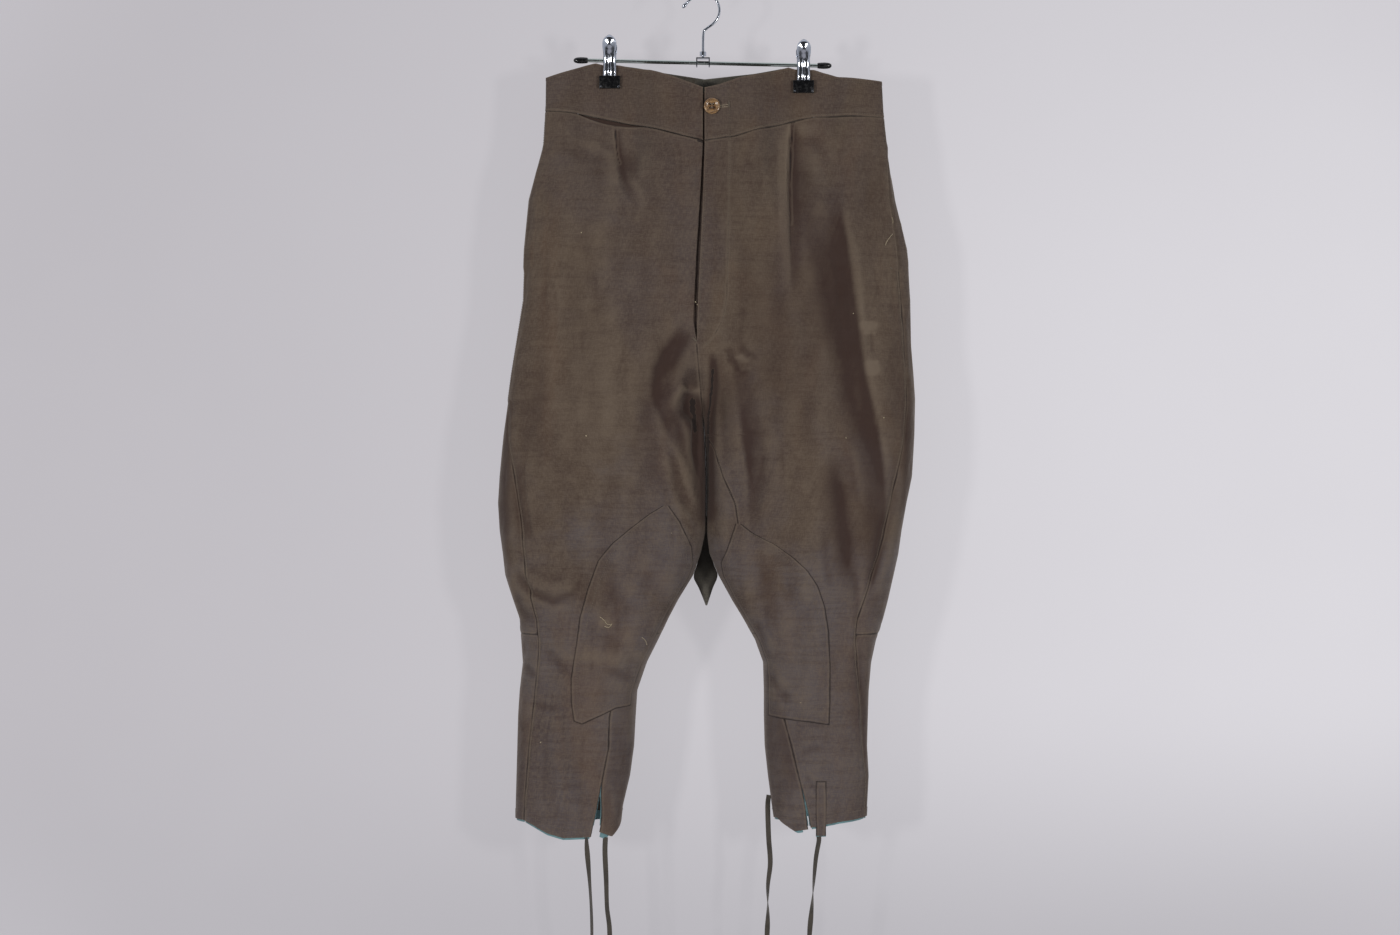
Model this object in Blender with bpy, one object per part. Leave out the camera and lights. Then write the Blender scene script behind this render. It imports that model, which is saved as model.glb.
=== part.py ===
"""Army breeches that hang from a clip hanger, as closed solids.

Sizes are in millimetres. The origin is the inner top of the hanger's hook, +Z is up,
the front faces -Y and +X is the wearer's left. A "drop" is a distance below the hook.
"""
import math

import bpy
import numpy as np

MM = 0.001
SEAM_GAP = 0.3
PANEL_WALL = 1.8
BAND_WALL = 2.3
PATCH_WALL = 1.4
PATCH_GAP = 1.2
TAPE_WALL = 1.2

FRONT = -1
BACK = 1
RIGHT = -1
LEFT = 1

# Each leg from the front: drop, outer edge, side seam, inner seam, inner edge.
# Above the crotch the inner seam and edge are the centre line.
LEG_OUTLINE = {
    RIGHT: (
        (80, -196, -196, 2, 2),
        (154, -197, -197, 2, 2),
        (194, -199, -199, 2, 2),
        (257, -216, -216, 0, 0),
        (319, -222, -222, -3, -3),
        (382, -224, -224, -6, -6),
        (438, -233, -233, -8, -8),
        (475, -239, -239, -5, -5),
        (506, -243, -243, -2, -2),
        (550, -249, -243, 2, 2),
        (569, -251, -240, 3, 3),
        (602, -254, -234, 4, 4),
        (635, -256, -229, 4, 4),
        (669, -254, -224, 4, 4),
        (698, -250, -221, -4, -3),
        (725, -247, -219, -15, -12),
        (756, -237, -212, -37, -31),
        (779, -229, -206, -55, -43),
        (806, -227, -203, -75, -56),
        (834, -225, -204, -95, -70),
        (869, -229, -208, -111, -82),
        (900, -231, -211, -116, -84),
        (938, -232, -215, -117, -86),
        (975, -233, -218, -124, -91),
        (1013, -234, -221, -131, -100),
        (1055, -234, -221, -140, -104),
    ),
    LEFT: (
        (80, 222, 222, 2, 2),
        (154, 226, 226, 2, 2),
        (194, 231, 230, 2, 2),
        (257, 240, 231, 0, 0),
        (319, 255, 239, -3, -3),
        (382, 259, 245, -6, -6),
        (438, 260, 250, -8, -8),
        (475, 263, 252, -5, -5),
        (506, 265, 252, -2, -2),
        (550, 264, 248, 2, 2),
        (569, 263, 245, 14, 3),
        (602, 261, 239, 25, 4),
        (635, 254, 232, 39, 4),
        (669, 248, 225, 44, 4),
        (698, 244, 219, 45, 8),
        (725, 238, 209, 48, 19),
        (756, 231, 198, 56, 36),
        (779, 225, 191, 64, 50),
        (806, 216, 188, 74, 65),
        (834, 210, 190, 83, 75),
        (869, 207, 194, 92, 76),
        (900, 206, 197, 100, 76),
        (938, 205, 199, 110, 77),
        (975, 207, 203, 119, 81),
        (1013, 205, 202, 129, 86),
        (1055, 203, 200, 136, 92),
    ),
}
OUTER_EDGE, SIDE_SEAM, INNER_SEAM, INNER_EDGE = 1, 2, 3, 4

# How deep the cloth stands: drop, before the hanger's plane, behind it.
DEPTHS = (
    (80, 16, 16),
    (130, 20, 20),
    (190, 30, 34),
    (260, 40, 48),
    (350, 48, 60),
    (450, 54, 70),
    (550, 57, 72),
    (640, 60, 70),
    (720, 58, 64),
    (800, 50, 54),
    (860, 42, 46),
    (950, 37, 39),
    (1055, 34, 34),
)
ROUNDNESS = 2.4
CROTCH_TOP = 440
CROTCH_BOTTOM = 550

# The two clips press the waistband flat: centre, half width of the flat, fade beside it.
CLIP_CENTRES = (-116.5, 125.5)
PINCH_HALF_WIDTH = 26
PINCH_FADE = 40
PINCH_DROP = 138
PINCH_END = 285
PINCHED_DEPTH = 2.6

# Folds of the front: points as (x, drop), depth inward, reach to -X, reach to +X,
# fade at the upper end, fade at the lower end. A negative depth is a ridge.
FRONT_FOLDS = (
    # pleats below the waistband
    (((112, 163), (109, 205), (107, 250), (109, 294), (112, 383), (115, 413)), 7, 3, 26, 25, 150),
    (((-111, 166), (-106, 208), (-99, 240), (-80, 270), (-65, 282)), 5, 3, 22, 60, 90),
    (((136, 205), (132, 229), (136, 264), (140, 290)), 2.5, 7, 7, 25, 40),
    # long troughs of the left thigh, with the sharp edge beside the first
    (((149, 254), (162, 354), (172, 420), (180, 500), (205, 564), (220, 625)), 11, 22, 13, 70, 90),
    (((180, 300), (187, 400), (203, 500)), -4, 8, 9, 60, 70),
    (((164, 564), (174, 640), (179, 700), (179, 750)), 7, 16, 14, 60, 70),
    (((46, 498), (58, 600), (61, 700)), 8, 17, 15, 70, 70),
    (((60, 690), (80, 745), (112, 795)), 4, 24, 22, 50, 50),
    (((25, 400), (39, 433), (48, 465)), 4, 9, 9, 25, 30),
    (((228, 670), (216, 708), (201, 746)), 5, 8, 8, 30, 30),
    # the right thigh, the crotch and the fold under the right flare
    (((-14, 405), (-42, 453), (-68, 510), (-60, 590), (-28, 654)), 10, 22, 17, 60, 70),
    (((-13, 460), (-15, 500), (-16, 538)), 11, 10, 9, 30, 18),
    (((-246, 700), (-229, 732), (-214, 747), (-184, 753), (-159, 745), (-146, 715)), 9, 15, 14, 40, 40),
    (((-205, 430), (-212, 520), (-205, 610)), 5, 26, 24, 90, 90),
)

# Folds of the back, which the photograph doesn't show.
BACK_FOLDS = (
    (((0, 430), (-60, 500), (-118, 585), (-150, 660)), 12, 20, 18, 70, 80),
    (((6, 430), (68, 505), (122, 590), (160, 670)), 11, 19, 20, 70, 80),
    (((-196, 480), (-190, 580), (-160, 690), (-120, 760)), 9, 20, 20, 80, 80),
    (((214, 470), (205, 590), (170, 700), (130, 770)), 8, 20, 20, 80, 80),
    (((-70, 700), (-120, 752), (-180, 770)), 6, 14, 12, 40, 40),
    (((60, 700), (110, 760), (170, 778)), 6, 13, 14, 40, 40),
    (((-60, 230), (-74, 330), (-96, 420)), 5, 22, 22, 70, 80),
    (((80, 235), (92, 330), (108, 425)), 5, 22, 22, 70, 80),
)

# Edges of the waistband and the front panels, as (x, drop).
BAND_TOP_FRONT = (
    (-196, 104), (-169, 96), (-148, 89), (-136, 86), (-126, 88.5), (-107, 88.5), (-66, 96), (-34, 106),
    (2, 119), (21, 115), (46, 106), (71, 101), (108, 91.3), (117, 93.8), (142, 94.5), (171, 104), (226, 109),
)
BAND_TOP_BACK = (
    (-196, 104), (-148, 89), (-136, 86), (-126, 88.5), (-107, 88.5), (-60, 97), (2, 112), (50, 101),
    (90, 94), (108, 91.3), (117, 93.8), (142, 94.5), (171, 102), (226, 109),
)
WAIST_SEAM_FRONT = (
    (-196, 146), (-158, 149), (-74, 166), (-44, 174), (2, 186),
    (40, 180), (67, 171), (94, 164), (124, 156), (140, 153), (226, 154),
)
WAIST_SEAM_BACK = ((-196, 146), (-80, 152), (2, 158), (90, 152), (226, 154))
WATCH_POCKET_SLIT = (-157, -75)
WATCH_POCKET_GAPE = 5
WATCH_POCKET_DROP = 190
WATCH_POCKET_ROWS, WATCH_POCKET_COLUMNS = 4, 9
POCKET_GAP = 1.1

# Hems as (share of the way across the panel, drop): fronts from side seam to inner seam,
# calves from side seam round the back to the front of the slit.
HEM_FRONT = {
    RIGHT: ((0, 1028), (0.35, 1043), (0.6, 1049), (1, 1048)),
    LEFT: ((0, 1025), (0.5, 1029), (1, 1036)),
}
HEM_CALF = {
    RIGHT: ((0, 1028), (0.15, 1027), (0.55, 1034), (0.82, 1027), (0.92, 1049), (1, 1042)),
    LEFT: ((0, 1025), (0.15, 1025), (0.55, 1030), (0.82, 1026), (0.92, 1041), (1, 1038)),
}
WAIST_LEVEL = 150
CALF_SEAM = 797
HEM_LEVEL = 1035
SLIT_TOP = 960
SLIT_GAPE = {RIGHT: 7, LEFT: 3}
# The tape end beside the left slit: x of its two sides, then its upper and lower end.
TAB_SIDES = (139.5, 152)
TAB_ENDS = (978, 1046)
TAB_COLUMNS, TAB_ROWS = 3, 6

# The fly: its opening narrows to nothing at the bottom.
FLY_BOTTOM = 436
FLY_GAPE = ((80, 2.0), (190, 2.5), (330, 5.0), (410, 5.0), (436, 0.0))
UNDERLAP_COLUMNS = (-14, -7, -1.5, 4, 14, 24, 34)
UNDERLAP_TOP = 124
UNDERLAP_MARGIN = 6
UNDERLAP_ROWS = 13
UNDERLAP_DEPTH = 3.6
FLY_LAP_REACH = 34
FLY_LAP_RISE = 2.2
FLY_LAP_FADE = 70
FLY_LAP_EDGE = 8

# Knee patches: (drop, x) down the outer and the inner edge, and (share across, drop) along
# the lower edge.
PATCH_OUTER = {
    RIGHT: ((638, -50), (649, -68), (666, -90), (685, -113), (705, -129), (740, -142),
            (776, -152), (808, -156), (850, -163), (880, -163), (908, -159)),
    LEFT: ((660, 47), (672, 62), (685, 88), (702, 112), (718, 129), (736, 141), (762, 150),
           (793, 155), (836, 157), (880, 157), (908, 156)),
}
PATCH_INNER = {
    RIGHT: ((638, -42), (658, -28), (689, -14), (710, -12), (725, -17), (756, -36), (779, -49),
            (806, -62), (834, -76), (869, -88), (890, -90)),
    LEFT: ((660, 40), (693, 29), (709, 22), (725, 25), (756, 41), (779, 55), (806, 70), (834, 80),
           (869, 81), (902, 81)),
}
PATCH_BOTTOM = {
    RIGHT: ((0, 904), (0.15, 908), (0.35, 901), (0.7, 889), (1, 886)),
    LEFT: ((0, 909), (0.35, 905), (0.7, 902), (1, 899)),
}

# Grid sizes of the solids.
FRONT_COLUMNS = 18
UPPER_ROWS = 27
LOWER_ROWS = 11
TRIM_ROWS = 4
GUIDE_COLUMN = 9
PLEAT_TOP = 165.0
GUIDE_HALF_WIDTH = 1.6
BACK_COLUMNS = 17
END_CROWDING = 0.85
CALF_COLUMNS = 17
BAND_ROWS = 5
PATCH_COLUMNS = 9
PATCH_END_STEP = 5.5
PATCH_EXTRA_LEVELS = (660, 679, 685, 691, 704, 710, 716, 735)
LEVEL_STEP = 4
LEVEL_TOP = 78
LEVEL_BOTTOM = 1060
SECTION_POINTS = 121
ACROSS_POINTS = 97

# Ties: routes as (x, y, drop), which start at the cloth that carries them and fall free.
TIE_DIAMETER = 5
TIE_STEP = 12
TIE_ROUNDING = 2
TIE_ROUTES = {
    "tie_right_outer": ((-144, -31.8, 1048.8), (-144, -31.8, 1056), (-143, -31, 1070), (-140, -29, 1110),
                        (-138, -28, 1149), (-138, -29, 1185), (-142, -31, 1230), (-139, -30, 1300)),
    "tie_right_inner": ((-121, -25.0, 1049.3), (-121.5, -25.5, 1068), (-120, -26, 1102), (-119, -25, 1136),
                        (-116, -23, 1163), (-116, -22, 1200), (-119, -24, 1250), (-117, -25, 1302)),
    "tie_left_inner": ((82.2, -1, 1000), (80.9, -2, 1015), (82, -3, 1053), (84, -4, 1084), (81, -5, 1113),
                       (81, -4, 1149), (80, -3, 1185), (83, -4, 1230), (81, -3, 1252)),
    "tie_left_outer": ((143, -35, 1046.7), (143, -35, 1053), (139, -34, 1078), (135, -32, 1130),
                       (132, -31, 1165), (131, -30, 1200), (134, -31, 1245), (133, -30, 1298)),
}

# Button: radius and height of each point of its turned outline, then its four holes.
BUTTON_PLACE = (11, 143)
BUTTON_OUTLINE = (
    (0.0, 0.0), (9.0, 0.0), (10.0, 1.4), (9.2, 2.9), (7.6, 3.1), (6.2, 2.1), (0.0, 1.9),
)
BUTTON_SIDES = 24
# Where the cloth under the button is felt, beside its middle.
BUTTON_PROBES_X = (-8, 0, 8, 12)
BUTTON_PROBES_DROP = (-8, 0, 8)
BUTTON_HOLE_RADIUS = 0.9
BUTTON_HOLE_OFFSET = 1.9
BUTTON_HOLE_SIDES = 10
CUTTER_SPARE = 1

# Hanger.
WIRE_DIAMETER = 3.2
HOOK_ROUTE = (
    (-25.6, -16.6), (-22.4, -12.6), (-17.3, -7.4), (-10.2, -1.1), (0.0, 1.6), (10.3, -1.2),
    (17.8, -8.7), (20.6, -19.0), (18.4, -28.8), (12.4, -36.4), (4.6, -42.2), (0.6, -48.5), (0.0, -78.5),
)
HOOK_TIP_RADIUS = 2.4
HOOK_TIP_REACH = 1.1
HOOK_ROUNDING = 3
HOOK_STEP = 4.2
ROD_RIGHT = (-158, -81.7)
ROD_LEFT = (157, -89.0)
ROD_DIAMETER = 4.8
CAP_DIAMETER = 8.0
CAP_LENGTH = 18
CAP_CHAMFER = 0.8
CAP_OVERLAP = 14
BRACKET_WIDTH = 8
BRACKET_OUTER = 17
BRACKET_TOP = 78.8
BRACKET_BOTTOM = 90.5
BRACKET_THICKNESS = 1.4
COLLAR_RADIUS = 4.2
COLLAR_HEIGHT = 5
COLLAR_BOTTOM = 76.5
CLIP_WIDTH = 17.5
CLIP_THICKNESS = 1.5
PAD_WIDTH = 26
PAD_THICKNESS = 1.8
PAD_ABOVE, PAD_BELOW = 19.5, 33.5
# A clip arm's inner side: distance from the hanger's plane, distance below the rod's centre.
CLIP_PROFILE = (
    (10.6, -24.6), (12.2, -27.2), (14.9, -27.4), (16.4, -25.2), (15.4, -22.4), (12.4, -17.0), (9.6, -10.5),
    (6.6, -4.5), (5.3, 0.5), (6.2, 6.0), (8.2, 11.0), (7.2, 16.0), (5.3, 20.0), (5.0, 34.8),
)
SLEEVE_LENGTH = 13
SLEEVE_HALF_DEPTH = 4.7
SLEEVE_HALF_HEIGHT = 4.6
ROD_CLEARANCE = 0.3
ROUND_SIDES = 16
ROUTE_SMOOTHING = 24

PARTS = {}


def clear_scene():
    """Remove what a new Blender scene holds."""
    for thing in list(bpy.data.objects):
        bpy.data.objects.remove(thing, do_unlink=True)


def column(rows, index, drop):
    """Read one column of a table at the given drops."""
    return np.interp(drop, [row[0] for row in rows], [row[index] for row in rows])


def along(pairs, place):
    """Read a short table of pairs at a place."""
    return np.interp(place, [pair[0] for pair in pairs], [pair[1] for pair in pairs])


def ease(low, high, value):
    """Rise smoothly from 0 at low to 1 at high."""
    share = np.clip((np.asarray(value, float) - low) / (high - low), 0.0, 1.0)
    return share * share * (3.0 - 2.0 * share)


def pinch(x, y, drop):
    """Press a section flat under the two clips."""
    fade = 1.0 - ease(PINCH_DROP, PINCH_END, drop)
    beside = np.min([np.abs(x - centre) for centre in CLIP_CENTRES], axis=0)
    share = fade * (1.0 - ease(PINCH_HALF_WIDTH, PINCH_HALF_WIDTH + PINCH_FADE, beside))
    return y * (1.0 - share) + np.minimum(y, PINCHED_DEPTH) * share


def half_section(leg, face, drop):
    """Points and outward normals (x, y, nx, ny) from the outer edge to the inner edge."""
    rows = LEG_OUTLINE[leg]
    share = float(ease(CROTCH_TOP, CROTCH_BOTTOM, drop))
    outer = column(rows, OUTER_EDGE, drop)
    inner = column(rows, INNER_EDGE, drop) + leg * SEAM_GAP * share
    depth = column(DEPTHS, 1 if face == FRONT else 2, drop)
    turn = np.linspace(0.0, math.pi, SECTION_POINTS)
    power = 2.0 / ROUNDNESS
    torso_x = inner + (outer - inner) * np.cos(turn / 2).clip(0.0) ** power
    torso_y = depth * np.sin(turn / 2) ** power
    cosine = np.cos(turn)
    leg_x = (outer + inner) / 2 + (outer - inner) / 2 * np.sign(cosine) * np.abs(cosine) ** power
    leg_y = depth * np.sin(turn).clip(0.0) ** power
    x = torso_x * (1.0 - share) + leg_x * share
    y = face * pinch(x, torso_y * (1.0 - share) + leg_y * share, drop)
    tangent = np.gradient(np.column_stack((x, y)), axis=0)
    tangent[0] = (0.0, face)
    if share > 0.99:
        tangent[-1] = (0.0, -face)
    tangent /= np.linalg.norm(tangent, axis=1)[:, None]
    normal = np.column_stack((tangent[:, 1], -tangent[:, 0])) * face * leg
    return np.column_stack((x, y, normal))


def lengths(points):
    """Distance along a line of points."""
    steps = np.linalg.norm(np.diff(points[:, :2], axis=0), axis=1)
    return np.concatenate(([0.0], np.cumsum(steps)))


def stretch(points, start, end):
    """The part of a line between two distances, in that direction."""
    at = lengths(points)
    low, high = min(start, end), max(start, end)
    inside = at[(at > low + 0.001) & (at < high - 0.001)]
    places = np.concatenate(([low], inside, [high]))
    piece = np.column_stack([np.interp(places, at, points[:, axis]) for axis in range(points.shape[1])])
    return piece if start <= end else piece[::-1]


def where_x(points, leg, x):
    """Distance along a front half section at which it passes x."""
    return float(np.interp(-leg * x, -leg * points[:, 0], lengths(points)))


def panel_line(leg, piece, drop):
    """One level of a piece. "front" and "face" start at the side seam and end at the inner seam
    or the inner edge. "back" starts at the side seam and goes round the back."""
    rows = LEG_OUTLINE[leg]
    front = half_section(leg, FRONT, drop)
    side = where_x(front, leg, column(rows, SIDE_SEAM, drop))
    edge = lengths(front)[-1]
    seam = edge
    if drop > CROTCH_BOTTOM:
        seam = where_x(front, leg, column(rows, INNER_SEAM, drop))
    if piece == "face":
        return stretch(front, side, edge)
    if piece == "front":
        return stretch(front, side, seam)
    pieces = [half_section(leg, BACK, drop)]
    if side > 0.01:
        pieces.insert(0, stretch(front, side, 0.0)[:-1])
    if edge - seam > 0.01:
        pieces.append(stretch(front, edge, seam)[1:])
    return np.vstack(pieces)


def fold_depth(x, drop, folds):
    """Add up the folds' depths at the given places."""
    total = np.zeros_like(x, dtype=float)
    for points, depth, reach_low, reach_high, fade_top, fade_bottom in folds:
        best = np.full_like(total, 1e9)
        signed = np.zeros_like(total)
        place = np.zeros_like(total)
        done = 0.0
        for (x0, d0), (x1, d1) in zip(points[:-1], points[1:]):
            length = math.hypot(x1 - x0, d1 - d0)
            ux, ud = (x1 - x0) / length, (d1 - d0) / length
            part = np.clip((x - x0) * ux + (drop - d0) * ud, 0.0, length)
            dx, dd = x - (x0 + part * ux), drop - (d0 + part * ud)
            distance = np.hypot(dx, dd)
            nearer = distance < best
            best = np.where(nearer, distance, best)
            signed = np.where(nearer, dx * ud - dd * ux, signed)
            place = np.where(nearer, done + part, place)
            done += length
        reach = np.where(signed < 0.0, reach_low, reach_high)
        ends = ease(0.0, fade_top, place) * ease(0.0, fade_bottom, done - place)
        total += depth * np.exp(-(best / reach) ** 2) * ends
    return total


def folded(row, drop):
    """Push one level of a piece in and out along its normals, as the folds say."""
    drops = np.full(len(row), float(drop))
    facing = row[:, 3]
    depth = fold_depth(row[:, 0], drops, FRONT_FOLDS) * ease(0.05, 0.7, -facing)
    depth = depth + fold_depth(row[:, 0], drops, BACK_FOLDS) * ease(0.05, 0.7, facing)
    moved = row.copy()
    moved[:, :2] -= row[:, 2:] * depth[:, None]
    tangent = np.gradient(moved[:, :2], axis=0)
    tangent /= np.linalg.norm(tangent, axis=1)[:, None]
    normal = np.column_stack((tangent[:, 1], -tangent[:, 0]))
    normal *= np.sign(np.sum(normal * row[:, 2:], axis=1))[:, None]
    moved[1:-1, 2:] = normal[1:-1]
    return moved


def raise_fly(row, drop):
    """Let the left front stand a little over the right one beside the fly."""
    centre = column(LEG_OUTLINE[LEFT], INNER_EDGE, drop)
    fade = 1.0 - ease(FLY_BOTTOM - FLY_LAP_FADE, FLY_BOTTOM, drop)
    near = 1.0 - ease(FLY_LAP_REACH - FLY_LAP_EDGE, FLY_LAP_REACH, row[:, 0] - centre)
    row[:, 1] -= FLY_LAP_RISE * fade * near


class Surface:
    """The outer side of one piece, read at shares across it and at drops."""

    def __init__(self, leg, piece):
        self.levels = np.arange(LEVEL_TOP, LEVEL_BOTTOM + LEVEL_STEP, LEVEL_STEP, dtype=float)
        shares = np.linspace(0.0, 1.0, ACROSS_POINTS)
        self.table = np.zeros((len(self.levels), ACROSS_POINTS, 4))
        self.widths = np.zeros(len(self.levels))
        for index, drop in enumerate(self.levels):
            line = panel_line(leg, piece, drop)
            line = stretch(line, SEAM_GAP / 2, lengths(line)[-1] - SEAM_GAP / 2)
            at = lengths(line)
            row = np.column_stack([np.interp(shares * at[-1], at, line[:, axis]) for axis in range(4)])
            row[:, 2:] /= np.linalg.norm(row[:, 2:], axis=1)[:, None]
            row = folded(row, drop)
            if leg == LEFT and piece != "back":
                raise_fly(row, drop)
            self.table[index] = row
            self.widths[index] = at[-1]

    def read(self, share, drop):
        """Points and normals, mixed from the four nearest places of the table."""
        share, drop = np.broadcast_arrays(np.asarray(share, float), np.asarray(drop, float))
        row = np.clip((drop - self.levels[0]) / LEVEL_STEP, 0, len(self.levels) - 1.001)
        col = np.clip(share, 0.0, 1.0) * (ACROSS_POINTS - 1)
        r0 = row.astype(int)
        c0 = np.minimum(col.astype(int), ACROSS_POINTS - 2)
        down, across = (row - r0)[..., None], (col - c0)[..., None]
        upper = self.table[r0, c0] * (1 - across) + self.table[r0, c0 + 1] * across
        lower = self.table[r0 + 1, c0] * (1 - across) + self.table[r0 + 1, c0 + 1] * across
        mixed = upper * (1 - down) + lower * down
        points = np.concatenate((mixed[..., :2], -drop[..., None]), axis=-1)
        flat = mixed[..., 2:] / np.linalg.norm(mixed[..., 2:], axis=-1)[..., None]
        normals = np.concatenate((flat, np.zeros_like(drop)[..., None]), axis=-1)
        return points, normals

    def width(self, drop):
        return float(np.interp(drop, self.levels, self.widths))

    def share_at_x(self, x, drop):
        """Share across a front at which it passes x."""
        row = self.read(np.linspace(0.0, 1.0, ACROSS_POINTS), drop)[0][:, 0]
        turn = 1.0 if row[-1] > row[0] else -1.0
        rising = np.maximum.accumulate(row * turn)
        return float(np.interp(x * turn, rising, np.linspace(0.0, 1.0, ACROSS_POINTS)))


def add_object(name, data):
    """Put one named object into the scene."""
    thing = bpy.data.objects.new(name, data)
    bpy.context.scene.collection.objects.link(thing)
    PARTS[name] = thing
    return thing


def make_mesh(name, vertices, faces):
    """Make one closed mesh object from points in millimetres."""
    mesh = bpy.data.meshes.new(name)
    mesh.from_pydata([tuple(float(value) * MM for value in vertex) for vertex in vertices], [], faces)
    mesh.update()
    return add_object(name, mesh)


def shell(name, points, normals, wall):
    """Close a grid of outer points into a wall of even thickness."""
    rows, cols = points.shape[:2]
    inner = points - normals * wall
    vertices = np.concatenate((points.reshape(-1, 3), inner.reshape(-1, 3)))
    base = rows * cols
    faces = []
    for row in range(rows - 1):
        for col in range(cols - 1):
            a = row * cols + col
            faces.append((a, a + 1, a + cols + 1, a + cols))
            faces.append((base + a + cols, base + a + cols + 1, base + a + 1, base + a))
    ring = [col for col in range(cols)]
    ring += [row * cols + cols - 1 for row in range(1, rows)]
    ring += [(rows - 1) * cols + col for col in range(cols - 2, -1, -1)]
    ring += [row * cols for row in range(rows - 2, 0, -1)]
    for first, second in zip(ring, ring[1:] + ring[:1]):
        # every rim is split along the same diagonal, so that the two sides of a seam stay parallel
        low, high = sorted((first, second))
        halves = [(high, low, base + high), (low, base + low, base + high)]
        faces += halves if first == low else [half[::-1] for half in halves]
    middle = (rows // 2, cols // 2)
    across = points[middle[0], middle[1]] - points[middle[0], middle[1] - 1]
    down = points[middle[0], middle[1]] - points[middle[0] - 1, middle[1]]
    if np.dot(np.cross(across, down), normals[middle]) < 0:
        faces = [face[::-1] for face in faces]
    return make_mesh(name, vertices, faces)


def end_spaced(count):
    """Shares across a piece, closer together towards both ends."""
    even = np.linspace(0.0, 1.0, count)
    return (1.0 - END_CROWDING) * even + END_CROWDING * (1.0 - np.cos(math.pi * even)) / 2.0


def guided_shares(surface, leg, drop, low, high):
    """Columns of a front, two of which lie on either side of its pleat."""
    pleat = FRONT_FOLDS[0 if leg == LEFT else 1][0]
    level = min(drop, pleat[-1][1])
    x = along([(d, x) for x, d in pleat], level)
    guide = surface.share_at_x(x, level)
    half = GUIDE_HALF_WIDTH / surface.width(drop)
    before = np.linspace(low, guide - half, GUIDE_COLUMN)
    return np.concatenate((before, np.linspace(guide + half, high, FRONT_COLUMNS - GUIDE_COLUMN)))


def fly_end(surface, drop):
    """Share across the right front at which the open fly cuts it off."""
    return 1.0 - along(FLY_GAPE, drop) / surface.width(drop)


def slit_gape(x):
    """How far the watch pocket's mouth hangs open below the waist seam."""
    low, high = WATCH_POCKET_SLIT
    share = np.clip((x - low) / (high - low), 0.0, 1.0)
    return WATCH_POCKET_GAPE * np.sin(math.pi * share)


def upper_levels():
    """Levels that fronts and backs share, so that their seams keep one line."""
    return np.linspace(WAIST_LEVEL, CALF_SEAM, UPPER_ROWS)


def lower_levels():
    """Levels that fronts and calves share."""
    return np.linspace(CALF_SEAM, HEM_LEVEL, LOWER_ROWS)


def trim_top(levels, top):
    """Bend the upper levels to an edge, column by column."""
    fade = np.clip(1.0 - np.arange(len(levels)) / TRIM_ROWS, 0.0, 1.0)[:, None]
    return levels[:, None] + (np.asarray(top) - levels[0]) * fade


def trim_bottom(drops, bottom):
    """Bend the lower levels to an edge, column by column."""
    fade = np.clip(1.0 - np.arange(len(drops))[::-1] / TRIM_ROWS, 0.0, 1.0)[:, None]
    return drops + (np.asarray(bottom) - drops[-1]) * fade


def front_panel(leg, surface):
    """Front of one leg, from the waist seam to the hem."""
    name = "front_right" if leg == RIGHT else "front_left"
    levels = np.concatenate((upper_levels(), lower_levels()[1:]))
    shares = []
    for level in levels:
        high = fly_end(surface, level) if leg == RIGHT else 1.0
        shares.append(guided_shares(surface, leg, max(level, PLEAT_TOP), 0.0, high))
    shares = np.array(shares)
    x = surface.read(shares[0], PLEAT_TOP)[0][:, 0]
    top = along(WAIST_SEAM_FRONT, x) + SEAM_GAP / 2
    if leg == RIGHT:
        top = top + slit_gape(x)
    drops = trim_bottom(trim_top(levels, top), along(HEM_FRONT[leg], shares[-1]))
    points, normals = surface.read(shares, drops)
    shell(name, points, normals, PANEL_WALL)


def back_panel(leg, surface):
    """Seat and wide upper leg of one side, down to the seam below the knee."""
    name = "back_right" if leg == RIGHT else "back_left"
    shares = end_spaced(BACK_COLUMNS)
    x = surface.read(shares, WAIST_LEVEL)[0][:, 0]
    drops = trim_top(upper_levels(), along(WAIST_SEAM_BACK, x) + SEAM_GAP / 2)
    drops[-1] -= SEAM_GAP / 2
    points, normals = surface.read(np.broadcast_to(shares, drops.shape), drops)
    shell(name, points, normals, PANEL_WALL)


def calf_panel(leg, surface):
    """Lower back of one leg, round to the slit at its inner front."""
    name = "calf_right" if leg == RIGHT else "calf_left"
    shares = []
    for level in lower_levels():
        gape = SLIT_GAPE[leg] * ease(SLIT_TOP, HEM_LEVEL, level)
        shares.append(end_spaced(CALF_COLUMNS) * (1.0 - gape / surface.width(level)))
    shares = np.array(shares)
    drops = np.broadcast_to(lower_levels()[:, None], shares.shape)
    drops = trim_bottom(drops, along(HEM_CALF[leg], shares[-1]))
    drops[0] += SEAM_GAP / 2
    points, normals = surface.read(shares, drops)
    shell(name, points, normals, PANEL_WALL)


def band_front(leg, surface):
    """Front part of the waistband on one side."""
    name = "waistband_right" if leg == RIGHT else "waistband_left"
    high = fly_end(surface, WAIST_LEVEL) if leg == RIGHT else 1.0
    shares = guided_shares(surface, leg, PLEAT_TOP, 0.0, high)
    x = surface.read(shares, PLEAT_TOP)[0][:, 0]
    top = along(BAND_TOP_FRONT, x)
    bottom = along(WAIST_SEAM_FRONT, x) - SEAM_GAP / 2
    parts = np.linspace(0.0, 1.0, BAND_ROWS)[:, None]
    drops = top + parts * (bottom - top)
    points, normals = surface.read(np.broadcast_to(shares, drops.shape), drops)
    shell(name, points, normals, BAND_WALL)


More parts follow.
